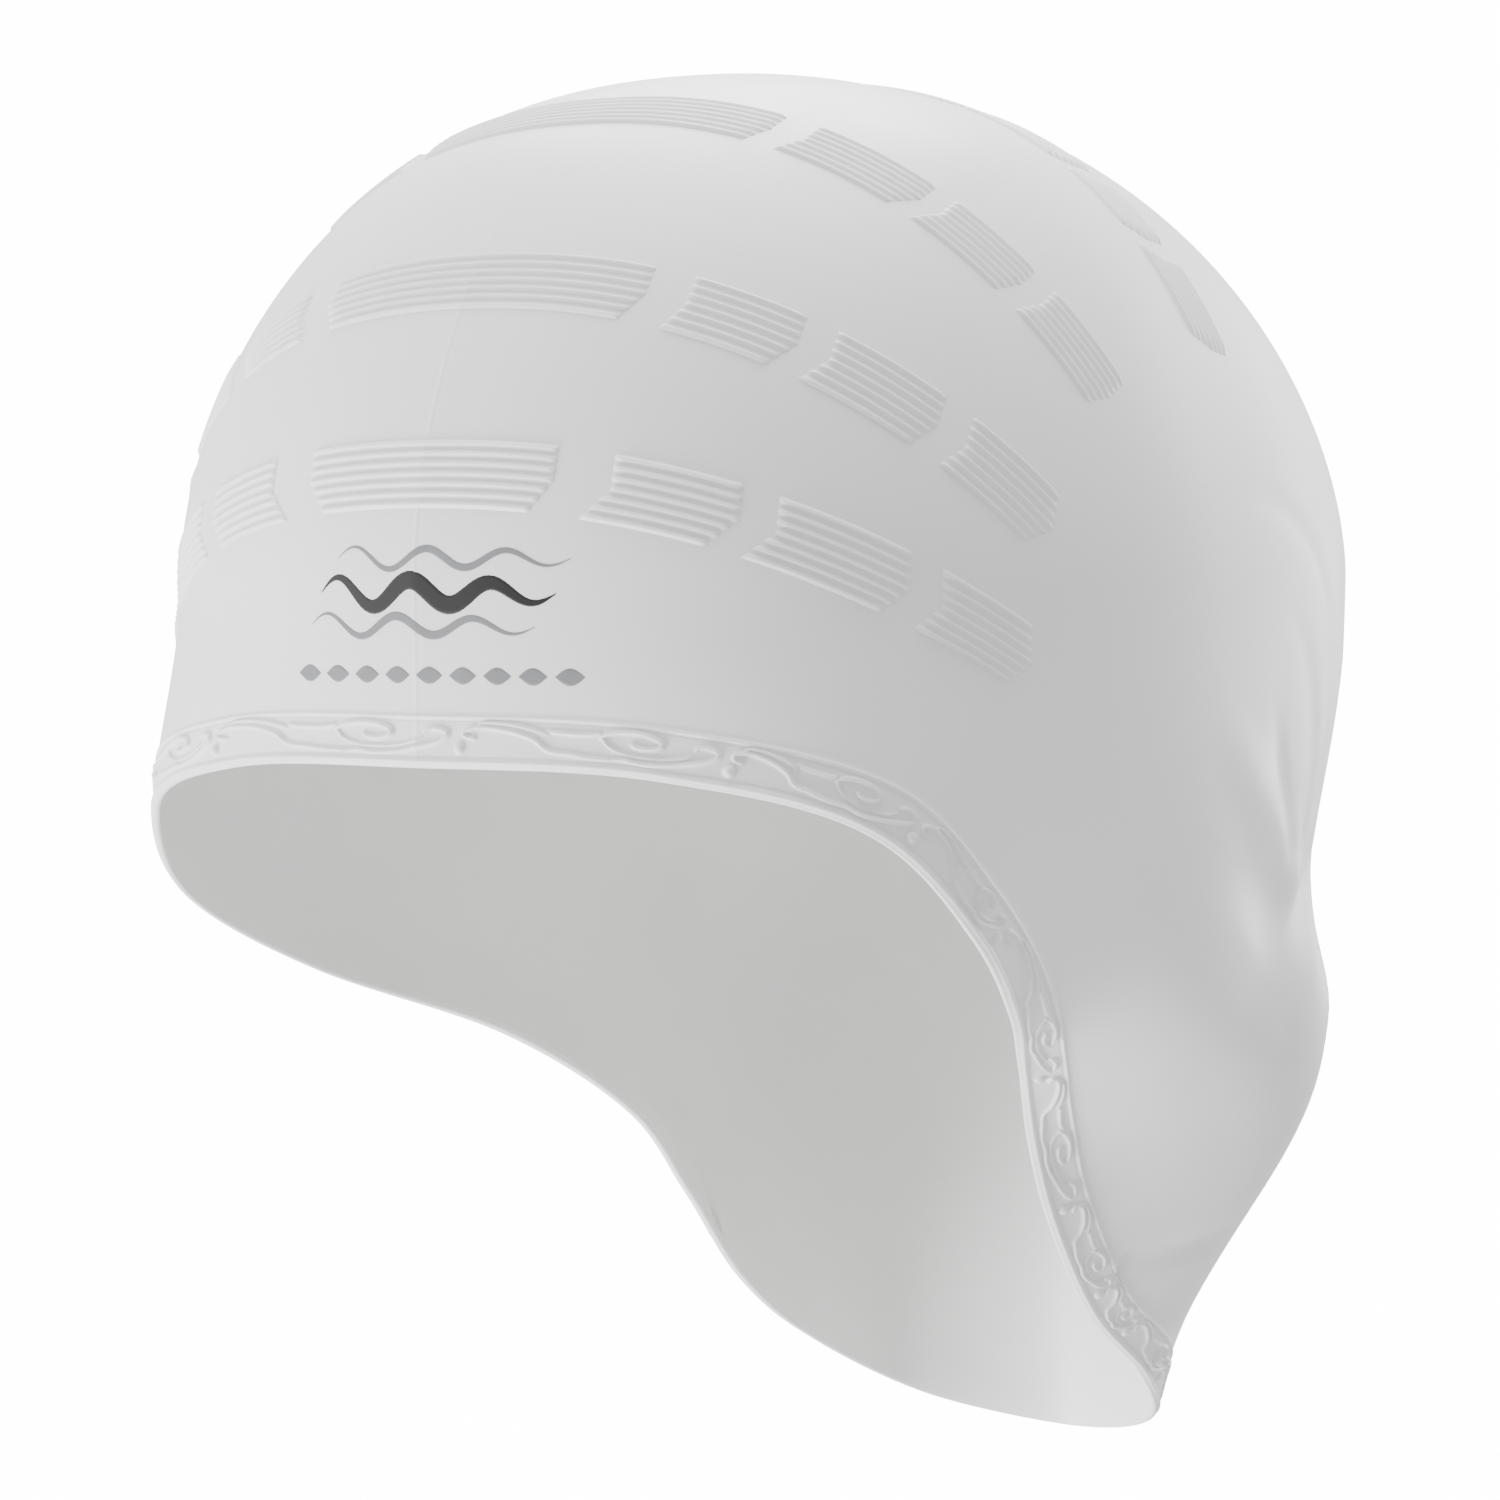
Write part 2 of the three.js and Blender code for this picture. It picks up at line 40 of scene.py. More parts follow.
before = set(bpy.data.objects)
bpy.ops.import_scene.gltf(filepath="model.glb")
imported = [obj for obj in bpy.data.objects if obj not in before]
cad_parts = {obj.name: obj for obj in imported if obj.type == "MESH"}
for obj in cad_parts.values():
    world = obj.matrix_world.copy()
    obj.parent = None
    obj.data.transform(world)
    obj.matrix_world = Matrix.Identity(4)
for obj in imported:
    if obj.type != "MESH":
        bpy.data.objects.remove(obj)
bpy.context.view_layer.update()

# Rim of the cap, from the forehead (turn 0) round to the nape (turn 180), one side.
# out: share of the half width. reach: share of the front reach where negative, else of
# the back reach. drop: share of the way from the forehead's drop to the nape's. inward,
# forward, down: the way in which the wall runs as it meets the rim. hold and pull: how
# strongly it keeps the way it had at the brow, and takes the way it has at the rim.
RIM_TURNS = [0, 22, 45, 60, 75, 90, 105, 120, 135, 150, 165, 180]
RIM = {
    "out": [0, 0.447, 0.774, 0.843, 0.755, 0.572, 0.453, 0.415, 0.403, 0.39, 0.27, 0],
    "reach": [
        -0.993, -0.933, -0.76, -0.587, -0.307, 0.038, 0.221, 0.332, 0.462, 0.635, 0.827, 0.942,
    ],
    "drop": [0, 0.009, 0.078, 0.19, 0.295, 0.39, 0.505, 0.626, 0.757, 0.861, 0.957, 1],
    "inward": [0, 0, 0, 0.25, 0.65, 0.86, 0.53, 0.59, 0.68, 0.53, 0.1, 0],
    "forward": [0, 0, 0, 0.1, 0.3, 0.37, 0.83, 0.85, 0.62, 0.28, -0.1, -0.2],
    "down": [1, 1, 1, 0.95, 0.7, 0.3, 0.15, 0.1, 0.35, 0.75, 1, 1],
    "hold": [1, 1, 1, 1, 1.1, 1.3, 1.31, 0.89, 0.81, 0.6, 1, 1.1],
    "pull": [1, 1, 1, 1, 1.1, 1.2, 1.09, 1.27, 1.05, 1.05, 1, 1],
}
TURNED_OVER = ("out", "inward")

# Rows of ribbed blocks. angle: how far the row's first rib stands up from level ahead.
# blocks: start and end of each block at the first rib, and at the last, as shares of the
# half width; the first block of a row lies over the middle.
RIB_ROWS = [
    (34.7, [(-0.258, 0.258, -0.214, 0.214), (0.35, 0.555, 0.298, 0.504),
            (0.601, 0.775, 0.552, 0.738), (0.804, 0.898, 0.772, 0.877)]),
    (49.4, [(-0.336, 0.336, -0.302, 0.302), (0.399, 0.584, 0.369, 0.548),
            (0.625, 0.779, 0.591, 0.753), (0.808, 0.911, 0.784, 0.887)]),
    (68.0, [(-0.365, 0.365, -0.34, 0.34), (0.419, 0.628, 0.39, 0.594),
            (0.655, 0.787, 0.626, 0.77), (0.81, 0.913, 0.794, 0.901)]),
    (94.8, [(-0.365, 0.365, -0.35, 0.35), (0.41, 0.6, 0.39, 0.58),
            (0.63, 0.755, 0.61, 0.735), (0.777, 0.892, 0.76, 0.88)]),
]

# Where the scrolls start round the rim, as shares of its length from the middle of the
# forehead towards the wearer's left; those after the last are evenly spaced.
SCROLL_STARTS = [
    -0.0714, 0.0123, 0.0802, 0.1229, 0.1595, 0.2652, 0.3302, 0.3643, 0.385, 0.4195,
]
EVEN_SCROLLS = 8

# Strokes of one scroll: share of its length, share of the band's width from the rim, and
# thickness of the stroke there as a share of the full one.
STROKES = [
    [(0.063, 0.574, 0.8), (0.035, 0.6, 0.9), (0.02, 0.654, 1), (0.028, 0.724, 1),
     (0.06, 0.777, 1), (0.1, 0.8, 1), (0.155, 0.777, 1), (0.215, 0.724, 1),
     (0.268, 0.645, 1), (0.31, 0.548, 1), (0.335, 0.425, 0.9), (0.365, 0.354, 0.9),
     (0.43, 0.32, 1), (0.49, 0.275, 1), (0.55, 0.262, 1), (0.63, 0.284, 1),
     (0.67, 0.258, 1.1), (0.71, 0.24, 1.2), (0.765, 0.275, 1.2), (0.84, 0.363, 1.2),
     (0.9, 0.442, 1.1), (0.945, 0.548, 1), (0.962, 0.654, 1), (0.945, 0.733, 1),
     (0.915, 0.764, 1), (0.888, 0.724, 0.9), (0.884, 0.66, 0.7)],
    [(0.085, 0.865, 0.6), (0.12, 0.9, 0.8), (0.2, 0.878, 0.8), (0.275, 0.812, 0.8),
     (0.33, 0.73, 0.7), (0.352, 0.7, 0.5)],
    [(0.352, 0.78, 0.5), (0.375, 0.75, 0.8), (0.41, 0.738, 0.8), (0.48, 0.724, 0.8),
     (0.525, 0.75, 0.8), (0.55, 0.79, 0.5)],
    [(0.55, 0.689, 0.8), (0.575, 0.772, 1), (0.62, 0.83, 1), (0.67, 0.852, 1.1),
     (0.72, 0.82, 1.1), (0.757, 0.742, 1.1), (0.765, 0.654, 1.1), (0.745, 0.583, 1),
     (0.71, 0.548, 1), (0.675, 0.57, 1), (0.66, 0.618, 0.8)],
    [(0.56, 0.655, 0.5), (0.575, 0.548, 0.6), (0.61, 0.442, 0.6), (0.67, 0.38, 0.6),
     (0.745, 0.39, 0.6), (0.8, 0.425, 0.6), (0.85, 0.504, 0.6), (0.875, 0.592, 0.4)],
]
BALL_ACROSS = 0.372

# Folds where the skin is stretched down to the notch behind the ear pocket, its lower
# edge, a soft pleat ahead of it and a small dimple. line: places down the side, each the
# share of the back reach behind the crown and the share of the nape's drop below it.
# half_width and depth are metres, and a depth below 0 stands out. fade: share of the
# line over which it comes in and goes out.
FOLDS = [
    {"line": [(0.0, 0.291), (0.121, 0.288), (0.225, 0.299), (0.317, 0.324), (0.382, 0.358),
              (0.433, 0.396), (0.453, 0.434), (0.471, 0.48), (0.479, 0.535)],
     "half_width": 0.0026, "depth": 0.0005, "fade": (0.3, 0.1)},
    {"line": [(0.15, 0.353), (0.232, 0.372), (0.314, 0.402), (0.372, 0.441), (0.415, 0.48),
              (0.432, 0.518), (0.447, 0.549)],
     "half_width": 0.0024, "depth": 0.0006, "fade": (0.4, 0.1)},
    {"line": [(0.216, 0.386), (0.299, 0.417), (0.352, 0.451), (0.387, 0.494), (0.427, 0.541)],
     "half_width": 0.002, "depth": 0.0004, "fade": (0.4, 0.1)},
    {"line": [(0.142, 0.407), (0.195, 0.438), (0.254, 0.476), (0.33, 0.508), (0.42, 0.541)],
     "half_width": 0.0026, "depth": 0.0007, "fade": (0.5, 0.1)},
    {"line": [(-0.036, 0.41), (0.035, 0.438), (0.107, 0.464), (0.243, 0.501), (0.379, 0.53),
              (0.467, 0.558)],
     "half_width": 0.0065, "depth": -0.0008, "fade": (0.6, 0.15)},
    {"line": [(0.03, 0.49), (0.16, 0.525), (0.33, 0.56), (0.47, 0.6)],
     "half_width": 0.0085, "depth": 0.0009, "fade": (0.7, 0.3)},
    {"line": [(0.45, 0.545), (0.56, 0.575)],
     "half_width": 0.011, "depth": 0.0012, "fade": (0.3, 0.4)},
    {"line": [(0.456, 0.832), (0.499, 0.824), (0.563, 0.818), (0.668, 0.806)],
     "half_width": 0.0035, "depth": 0.002, "fade": (0.05, 0.3)},
    {"line": [(0.195, 0.674), (0.364, 0.722), (0.499, 0.785)],
     "half_width": 0.007, "depth": -0.0008, "fade": (0.4, 0.3)},
    {"line": [(0.428, 0.639), (0.476, 0.656), (0.492, 0.675)],
     "half_width": 0.0022, "depth": 0.0003, "fade": (0.3, 0.3)},
]


def linear(hex_colour):
    """Linear RGB of an sRGB hex colour."""
    parts = [int(hex_colour[i : i + 2], 16) / 255 for i in (1, 3, 5)]
    return tuple(c / 12.92 if c <= 0.04045 else ((c + 0.055) / 1.055) ** 2.4 for c in parts)


class SwimCapSizes(bpy.types.PropertyGroup):
    """Sizes of the cap, in metres, and the bluntness of its outlines"""

    wall: bpy.props.FloatProperty(
        name="Wall", description="Thickness of the silicone", default=0.001, unit="LENGTH",
        precision=4,
    )
    half_width: bpy.props.FloatProperty(
        name="Half Width", description="Half the width at the brow", default=0.0795,
        unit="LENGTH", precision=4,
    )
    front_reach: bpy.props.FloatProperty(
        name="Front Reach", description="From the crown to the forehead", default=0.075,
        unit="LENGTH", precision=4,
    )
    back_reach: bpy.props.FloatProperty(
        name="Back Reach", description="From the crown to the back", default=0.104,
        unit="LENGTH", precision=4,
    )
    brow_drop: bpy.props.FloatProperty(
        name="Brow Drop", description="Height of the dome over the brow", default=0.072,
        unit="LENGTH", precision=4,
    )
    forehead_drop: bpy.props.FloatProperty(
        name="Forehead Drop", description="From the crown to the rim in front", default=0.096,
        unit="LENGTH", precision=4,
    )
    nape_drop: bpy.props.FloatProperty(
        name="Nape Drop", description="From the crown to the rim behind", default=0.211,
        unit="LENGTH", precision=4,
    )
    plan_power: bpy.props.FloatProperty(
        name="Plan Bluntness", description="Power of the outline seen from above", default=2.2,
    )
    spread_power: bpy.props.FloatProperty(
        name="Dome Bluntness", description="Power of the dome's spread", default=2.3,
    )
    rise_power: bpy.props.FloatProperty(
        name="Crown Bluntness", description="Power of the dome's rise", default=1.8,
    )
    pocket_depth: bpy.props.FloatProperty(
        name="Pocket Depth", description="How far an ear pocket stands out", default=0.0092,
        unit="LENGTH", precision=4,
    )
    bead_rise: bpy.props.FloatProperty(
        name="Bead Rise", description="Height of the bead along the rim", default=0.00045,
        unit="LENGTH", precision=5,
    )
    bead_width: bpy.props.FloatProperty(
        name="Bead Width", description="Width of the bead along the rim", default=0.0012,
        unit="LENGTH", precision=5,
    )
    band_width: bpy.props.FloatProperty(
        name="Band Width", description="From the rim to the fine line", default=0.0064,
        unit="LENGTH", precision=4,
    )
    line_rise: bpy.props.FloatProperty(
        name="Line Rise", description="Height of the fine line over the band", default=0.0003,
        unit="LENGTH", precision=5,
    )
    line_width: bpy.props.FloatProperty(
        name="Line Width", description="Width of the fine line over the band", default=0.0009,
        unit="LENGTH", precision=5,
    )
    stroke_rise: bpy.props.FloatProperty(
        name="Scroll Rise", description="Height of the scrolls", default=0.0006, unit="LENGTH",
        precision=5,
    )
    stroke_width: bpy.props.FloatProperty(
        name="Scroll Width", description="Width of a scroll's stroke", default=0.0009,
        unit="LENGTH", precision=5,
    )
    ball_width: bpy.props.FloatProperty(
        name="Ball Width", description="Width of the ball that starts a scroll", default=0.0017,
        unit="LENGTH", precision=5,
    )
    rib_rise: bpy.props.FloatProperty(
        name="Rib Rise", description="Height of a rib", default=0.0005, unit="LENGTH",
        precision=5,
    )
    rib_pitch: bpy.props.FloatProperty(
        name="Rib Pitch", description="From one rib to the next", default=0.0013, unit="LENGTH",
        precision=5,
    )
    ribs: bpy.props.IntProperty(name="Ribs", description="Ribs in one block", default=7)


class SwimCapColours(bpy.types.PropertyGroup):
    """Colours of the cap and the stage"""

    silicone: bpy.props.FloatVectorProperty(
        name="Silicone", description="Near-white silicone", subtype="COLOR",
        default=linear("#ebebea"), min=0, max=1,
    )
    ink_dark: bpy.props.FloatVectorProperty(
        name="Dark Ink", description="Black of the print", subtype="COLOR",
        default=linear("#0b0b0c"), min=0, max=1,
    )
    ink_grey: bpy.props.FloatVectorProperty(
        name="Grey Ink", description="Grey of the print", subtype="COLOR",
        default=linear("#77787b"), min=0, max=1,
    )
    floor: bpy.props.FloatVectorProperty(
        name="Floor", description="Pale studio floor", subtype="COLOR",
        default=linear("#fafafa"), min=0, max=1,
    )


class CapForm:
    """The outer surface of the cap as a function of turn (degrees) and way (0 at the
    crown, 0.5 at the brow, 1 at the rim)."""

    pocket_reach, pocket_drop = 0.407, 0.484
    pocket_half_length, pocket_rise, pocket_fall = 0.053, 0.041, 0.035
    pocket_powers = (1.87, 1.89, 1.04)
    pocket_lean = 0.001
    side_blend = 0.02
    dent = {"start": (0.52, 0.42), "end": (0.676, 0.55), "half_width": 0.0215, "inward": 0.003,
            "forward": 0.002, "start_share": 0.1}
    seam_rise, seam_half_width, seam_end, seam_fade = 0.00015, 0.007, -0.03, 0.025
    rib_axis_reach, rib_axis_drop = 0.096, 0.521

    def __init__(self, sizes):
        self.s = sizes
        self.rim = {name: self.rim_column(name) for name in RIM}

    def rim_column(self, name):
        sign = -1 if name in TURNED_OVER else 1
        turns, values = np.array(RIM_TURNS, float), np.array(RIM[name], float)
        if name == "reach":
            values = values * np.where(values < 0, self.s.front_reach, self.s.back_reach)
        turns = np.concatenate([-turns[2:0:-1], turns, 360 - turns[-2:-4:-1]])
        values = np.concatenate([sign * values[2:0:-1], values, sign * values[-2:-4:-1]])
        gaps = np.diff(turns)
        steps = np.diff(values) / gaps
        slopes = np.zeros_like(values)
        slopes[1:-1] = (steps[:-1] * gaps[1:] + steps[1:] * gaps[:-1]) / (gaps[1:] + gaps[:-1])

        def read(turn):
            size = np.abs(turn)
            k = np.clip(np.searchsorted(turns, size, side="right") - 1, 1, len(turns) - 3)
            t = (size - turns[k]) / gaps[k]
            value = hermite(t, values[k], slopes[k] * gaps[k], values[k + 1], slopes[k + 1] * gaps[k])
            return np.where(turn < 0, sign * value, value)

        return read

    def point(self, turn, way, plain=False):
        """Place on the outer surface; a plain one is without the folds and the seam."""
        s = self.s
        turn, way = np.broadcast_arrays(np.asarray(turn, float), np.asarray(way, float))
        angle = np.radians(turn)
        side = np.sign(np.sin(angle)) * np.abs(np.sin(angle)) ** (2 / s.plan_power)
        fore = np.sign(np.cos(angle)) * np.abs(np.cos(angle)) ** (2 / s.plan_power)
        plan_x = s.half_width * side
        plan_y = np.where(fore > 0, -s.front_reach, -s.back_reach) * fore
        rise = np.cos(np.clip(2 * way, 0, 1) * np.pi / 2).clip(0, 1) ** (2 / s.rise_power)
        spread = (1 - rise**s.rise_power).clip(0, 1) ** (1 / s.spread_power)
        dome = (plan_x * spread, plan_y * spread, -s.brow_drop * (1 - rise))
        down = np.clip(2 * way - 1, 0, 1)
        rim = {name: read(turn) for name, read in self.rim.items()}
        end = (
            rim["out"] * s.half_width,
            rim["reach"],
            -(s.forehead_drop + rim["drop"] * (s.nape_drop - s.forehead_drop)),
        )
        start = (plan_x, plan_y, np.full_like(plan_x, -s.brow_drop))
        length = np.sqrt(sum((a - b) ** 2 for a, b in zip(start, end)))
        runs = np.sqrt(rim["inward"] ** 2 + rim["forward"] ** 2 + rim["down"] ** 2)
        at_start = (0 * length, 0 * length, -length * rim["hold"])
        at_end = [-rim[name] / runs * length * rim["pull"] for name in ("inward", "forward", "down")]
        skirt = [hermite(down, *p) for p in zip(start, at_start, end, at_end)]
        x, y, z = (np.where(way > 0.5, low, high) for low, high in zip(skirt, dome))
        return self.shape_side(x, y, z, down, plain)

    def shape_side(self, x, y, z, down, plain):
        s = self.s
        side = np.tanh(x / self.side_blend)
        edge = 1 - smooth(np.clip((down - 0.6) / 0.4, 0, 1))
        along = (y - self.pocket_reach * s.back_reach) / self.pocket_half_length
        middle = s.forehead_drop + self.pocket_drop * (s.nape_drop - s.forehead_drop)
        below = -z - middle
        power_along, power_above, power_below = self.pocket_powers
        bulge = fade(along, power_along) * edge
        bulge = bulge * np.where(
            below < 0,
            fade(below / self.pocket_rise, power_above),
            fade(below / self.pocket_fall, power_below),
        )
        x = x + side * s.pocket_depth * bulge
        y = y + self.pocket_lean * bulge
        dent = self.dent
        start = np.array(dent["start"]) * (s.back_reach, s.nape_drop)
        line = np.array(dent["end"]) * (s.back_reach, s.nape_drop) - start
        from_y, from_z = y - start[0], -z - start[1]
        t = np.clip((from_y * line[0] + from_z * line[1]) / (line @ line), 0, 1)
        away = np.hypot(from_y - t * line[0], from_z - t * line[1]) / dent["half_width"]
        share = fade(away, 2) * (dent["start_share"] + (1 - dent["start_share"]) * t) * edge
        x = x - side * dent["inward"] * share
        y = y - dent["forward"] * share
        if plain:
            return np.stack([x, y, z + s.wall], -1)
        lift = self.seam(x, y) - self.folds(y / s.back_reach, -z / s.nape_drop)
        out_x, out_y = x / s.half_width**2, y / s.back_reach**2
        length = np.hypot(out_x, out_y) + 1e-9
        return np.stack([x + lift * out_x / length, y + lift * out_y / length, z + s.wall], -1)

    def seam(self, x, y):
        """Height of the faint sharp ridge that the mould leaves down the front."""
        near = np.clip(1 - np.abs(x) / self.seam_half_width, 0, 1) ** 2
        ahead = smooth(np.clip((self.seam_end - y) / self.seam_fade, 0, 1))
        return self.seam_rise * near * ahead

    def folds(self, reach, drop):
        """Depth of all the folds at shares of the back reach and of the nape's drop."""
        s = self.s
        total = np.zeros(reach.shape)
        scale = np.array([s.back_reach, s.nape_drop])
        for fold in FOLDS:
            line = spline(fold["line"], 8 * len(fold["line"])) * scale
            low, high = line.min(axis=0) - fold["half_width"], line.max(axis=0) + fold["half_width"]
            spot = np.stack([reach, drop], -1) * scale
            near = np.all((spot > low) & (spot < high), axis=-1)
            if not near.any():
                continue
            step = line[1:] - line[:-1]
            away = spot[near][:, None] - line[None, :-1]
            t = np.clip((away * step).sum(-1) / (step**2).sum(-1), 0, 1)
            distance = np.linalg.norm(away - t[..., None] * step, axis=-1)
            nearest = distance.argmin(axis=1)
            rows = np.arange(len(nearest))
            run = (nearest + t[rows, nearest]) / len(step)
            come, go = fold["fade"]
            strength = smooth(np.clip(run / come, 0, 1)) * smooth(np.clip((1 - run) / go, 0, 1))
            total[near] += (
                fold["depth"] * strength * fade(distance[rows, nearest] / fold["half_width"], 2)
            )
        return total

    def normal(self, turn, way):
        turn, way = np.broadcast_arrays(np.asarray(turn, float), np.asarray(way, float))
        lower = np.minimum(way + 1e-3, 1)
        ring = np.maximum(way, 2e-3)
        round_it = self.point(turn + 0.2, ring) - self.point(turn - 0.2, ring)
        down_it = self.point(turn, lower) - self.point(turn, lower - 2e-3)
        normal = np.cross(down_it, round_it)
        normal /= np.linalg.norm(normal, axis=-1, keepdims=True)
        return np.where((way < 3e-3)[..., None], (0.0, 0.0, 1.0), normal)

    def meeting(self, turns):
        """How a meridian meets the rim: its run square to the rim and its run along the
        rim, for each length of its own."""
        along = self.point(turns + 0.2, 1, plain=True) - self.point(turns - 0.2, 1, plain=True)
        along /= np.linalg.norm(along, axis=1, keepdims=True)
        downward = self.point(turns, 1, plain=True) - self.point(turns, 0.994, plain=True)
        downward /= np.linalg.norm(downward, axis=1, keepdims=True)
        return np.linalg.norm(np.cross(along, downward), axis=1), (along * downward).sum(axis=1)

    def way_from_rim(self, turns, distances):
        """Ways at distances from the rim, measured square to it: one row per turn."""
        ways = np.linspace(1, 0.55, 160)
        lines = self.point(turns[:, None], ways[None, :], plain=True)
        lengths = np.linalg.norm(np.diff(lines, axis=1), axis=2).cumsum(axis=1)
        lengths = np.concatenate([np.zeros((len(turns), 1)), lengths], axis=1)
        square, _ = self.meeting(turns)
        return np.array([np.interp(distances / k, row, ways) for k, row in zip(square, lengths)])

    def rim_turns(self):
        """The turn at each share of the rim's length from the middle of the forehead."""
        turns = np.linspace(0, 360, 2881)
        line = self.point(np.where(turns > 180, turns - 360, turns), 1)
        steps = np.linalg.norm(np.diff(line, axis=0), axis=1)
        lengths = np.concatenate([[0], steps.cumsum()])
        whole = lengths[-1]

        def read(share):
            turn = np.interp(np.mod(share, 1) * whole, lengths, turns)
            return np.where(turn > 180, turn - 360, turn)

        return read, whole

    def rib_axis(self):
        """Place, back and up, of the line across the head that the rib rows turn about."""
        return self.rib_axis_reach * self.s.back_reach, -self.rib_axis_drop * self.s.nape_drop

    def at_angle(self, x, degrees):
        """Turn and way where the wall is at a distance x from the middle and an angle
        about the rib axis."""
        s = self.s
        axis_y, axis_z = self.rib_axis()
        x, angle = np.broadcast_arrays(np.asarray(x, float), np.radians(degrees))
        ahead = -(axis_y + axis_z * np.cos(angle))
        side_share = x / s.half_width
        ahead_share = ahead / np.where(ahead > 0, s.front_reach, s.back_reach)
        turn = np.degrees(np.arctan2(side_share, ahead_share))
        way = 0.5 * np.clip(np.hypot(side_share, ahead_share), 0.02, 0.9)

        def miss(turn, way):
            p = self.point(turn, way, plain=True)
            off = (p[..., 2] - axis_z) * np.cos(angle) - (axis_y - p[..., 1]) * np.sin(angle)
            return p[..., 0] - x, off

        for _ in range(14):
            a, b = miss(turn, way)
            a1, b1 = miss(turn + 0.05, way)
            a2, b2 = miss(turn, way + 1e-4)
            at, bt, aw, bw = (a1 - a) / 0.05, (b1 - b) / 0.05, (a2 - a) / 1e-4, (b2 - b) / 1e-4
            scale = at * bw - bt * aw
            turn = turn - np.clip((a * bw - b * aw) / scale, -20, 20)
            way = np.clip(way - (at * b - bt * a) / scale, 0.02, 0.95)
        return turn, way

    def radius_at(self, turn, way):
        axis_y, axis_z = self.rib_axis()
        p = self.point(turn, way)
        return np.hypot(p[..., 1] - axis_y, p[..., 2] - axis_z)

    def ahead_of(self, x, z):
        """Turn and way of the front wall at a place seen from the front."""
        s = self.s
        x, z = np.broadcast_arrays(np.asarray(x, float), np.asarray(z, float))
        turn = np.sign(x) * np.degrees(np.arcsin(np.abs(x / s.half_width) ** (s.plan_power / 2)))
        below = -(z - s.wall) - s.brow_drop
        way = 0.5 + below / 2 / (s.forehead_drop - s.brow_drop)
        rise = np.clip(-below / s.brow_drop, 1e-6, 1) ** (s.rise_power / 2)
        way = np.where(below < 0, np.arccos(rise) / np.pi, way)
        for _ in range(20):
            p = self.point(turn, way, plain=True)
            p1 = self.point(turn + 0.05, way, plain=True)
            p2 = self.point(turn, way + 1e-4, plain=True)
            a, b = p[..., 0] - x, p[..., 2] - z
            at, bt = (p1[..., 0] - p[..., 0]) / 0.05, (p1[..., 2] - p[..., 2]) / 0.05
            aw, bw = (p2[..., 0] - p[..., 0]) / 1e-4, (p2[..., 2] - p[..., 2]) / 1e-4
            scale = at * bw - bt * aw
            turn = turn - np.clip((a * bw - b * aw) / scale, -3, 3)
            way = way - np.clip((at * b - bt * a) / scale, -0.03, 0.03)
        return turn, way


def smooth(x):
    return x * x * (3 - 2 * x)


def fade(x, power):
    return np.clip(1 - x * x, 0, 1) ** power


def hermite(t, start, start_slope, end, end_slope):
    t2, t3 = t * t, t**3
    return (
        (2 * t3 - 3 * t2 + 1) * start
        + (t3 - 2 * t2 + t) * start_slope
        + (3 * t2 - 2 * t3) * end
        + (t3 - t2) * end_slope
    )


def hump(x):
    """Rounded ridge: 1 in the middle, 0 from 1 outwards."""
    return np.cos(np.clip(np.abs(x), 0, 1) * np.pi / 2) ** 2


def spline(knots, count):
    """Smooth curve through knots, as an array of points."""
    knots = np.array(knots, float)
    ends = np.concatenate([[2 * knots[0] - knots[1]], knots, [2 * knots[-1] - knots[-2]]])
    t = np.linspace(0, len(knots) - 1 - 1e-9, count)
    i = t.astype(int)
    t = (t - i)[:, None]
    slope = (ends[2:] - ends[:-2]) / 2
    return hermite(t, knots[i], slope[i], knots[i + 1], slope[i + 1])


def start_piece(name):
    """Names the primitive just added, with its object at the origin."""
    piece = bpy.context.object
    piece.name = name
    piece.data.name = name
    return piece


def sphere_piece(name, segments, rings):
    """A sphere to be drawn out into a closed form: its object, and each vertex's place
    round it (0 to 1) and from the top pole to the bottom one (0 to 1)."""
    bpy.ops.object.select_all(action="DESELECT")
    bpy.ops.mesh.primitive_uv_sphere_add(segments=segments, ring_count=rings, radius=1)
    piece = start_piece(name)
    co = vertices_of(piece)
    round_it = np.mod(np.round(np.arctan2(co[:, 1], co[:, 0]) / (2 * np.pi) * segments), segments)
    down_it = np.round(np.arccos(np.clip(co[:, 2], -1, 1)) / np.pi * rings)
    return piece, round_it.astype(int), down_it.astype(int)


def ring_piece(name, segments, sections):
    """A grid to be rolled up both ways into a closed strip: its object, and each vertex's
    number along the strip and round its cross-section."""
    bpy.ops.object.select_all(action="DESELECT")
    bpy.ops.mesh.primitive_grid_add(x_subdivisions=segments, y_subdivisions=sections, size=2)
    piece = start_piece(name)
    co = (vertices_of(piece)[:, :2] + 1) / 2 * (segments, sections)
    along, section = np.round(co).astype(int).T
    return piece, np.mod(along, segments), np.mod(section, sections)


def vertices_of(piece):
    co = np.empty(len(piece.data.vertices) * 3)
    piece.data.vertices.foreach_get("co", co)
    return co.reshape(-1, 3)


def place(piece, co):
    """Moves the vertices, turns the faces outwards and smooths the shading."""
    piece.data.vertices.foreach_set("co", np.ascontiguousarray(co, float).ravel())
    piece.data.update()
    mesh = bmesh.new()
    mesh.from_mesh(piece.data)
    bmesh.ops.remove_doubles(mesh, verts=mesh.verts, dist=1e-7)
    if mesh.calc_volume(signed=True) < 0:
        bmesh.ops.reverse_faces(mesh, faces=mesh.faces)
    mesh.to_mesh(piece.data)
    mesh.free()
    bpy.ops.object.shade_smooth()


def join_pieces(name, pieces):
    bpy.ops.object.select_all(action="DESELECT")
    for piece in pieces:
        piece.select_set(True)
    bpy.context.view_layer.objects.active = pieces[0]
    if len(pieces) > 1:
        bpy.ops.object.join()
    return start_piece(name)


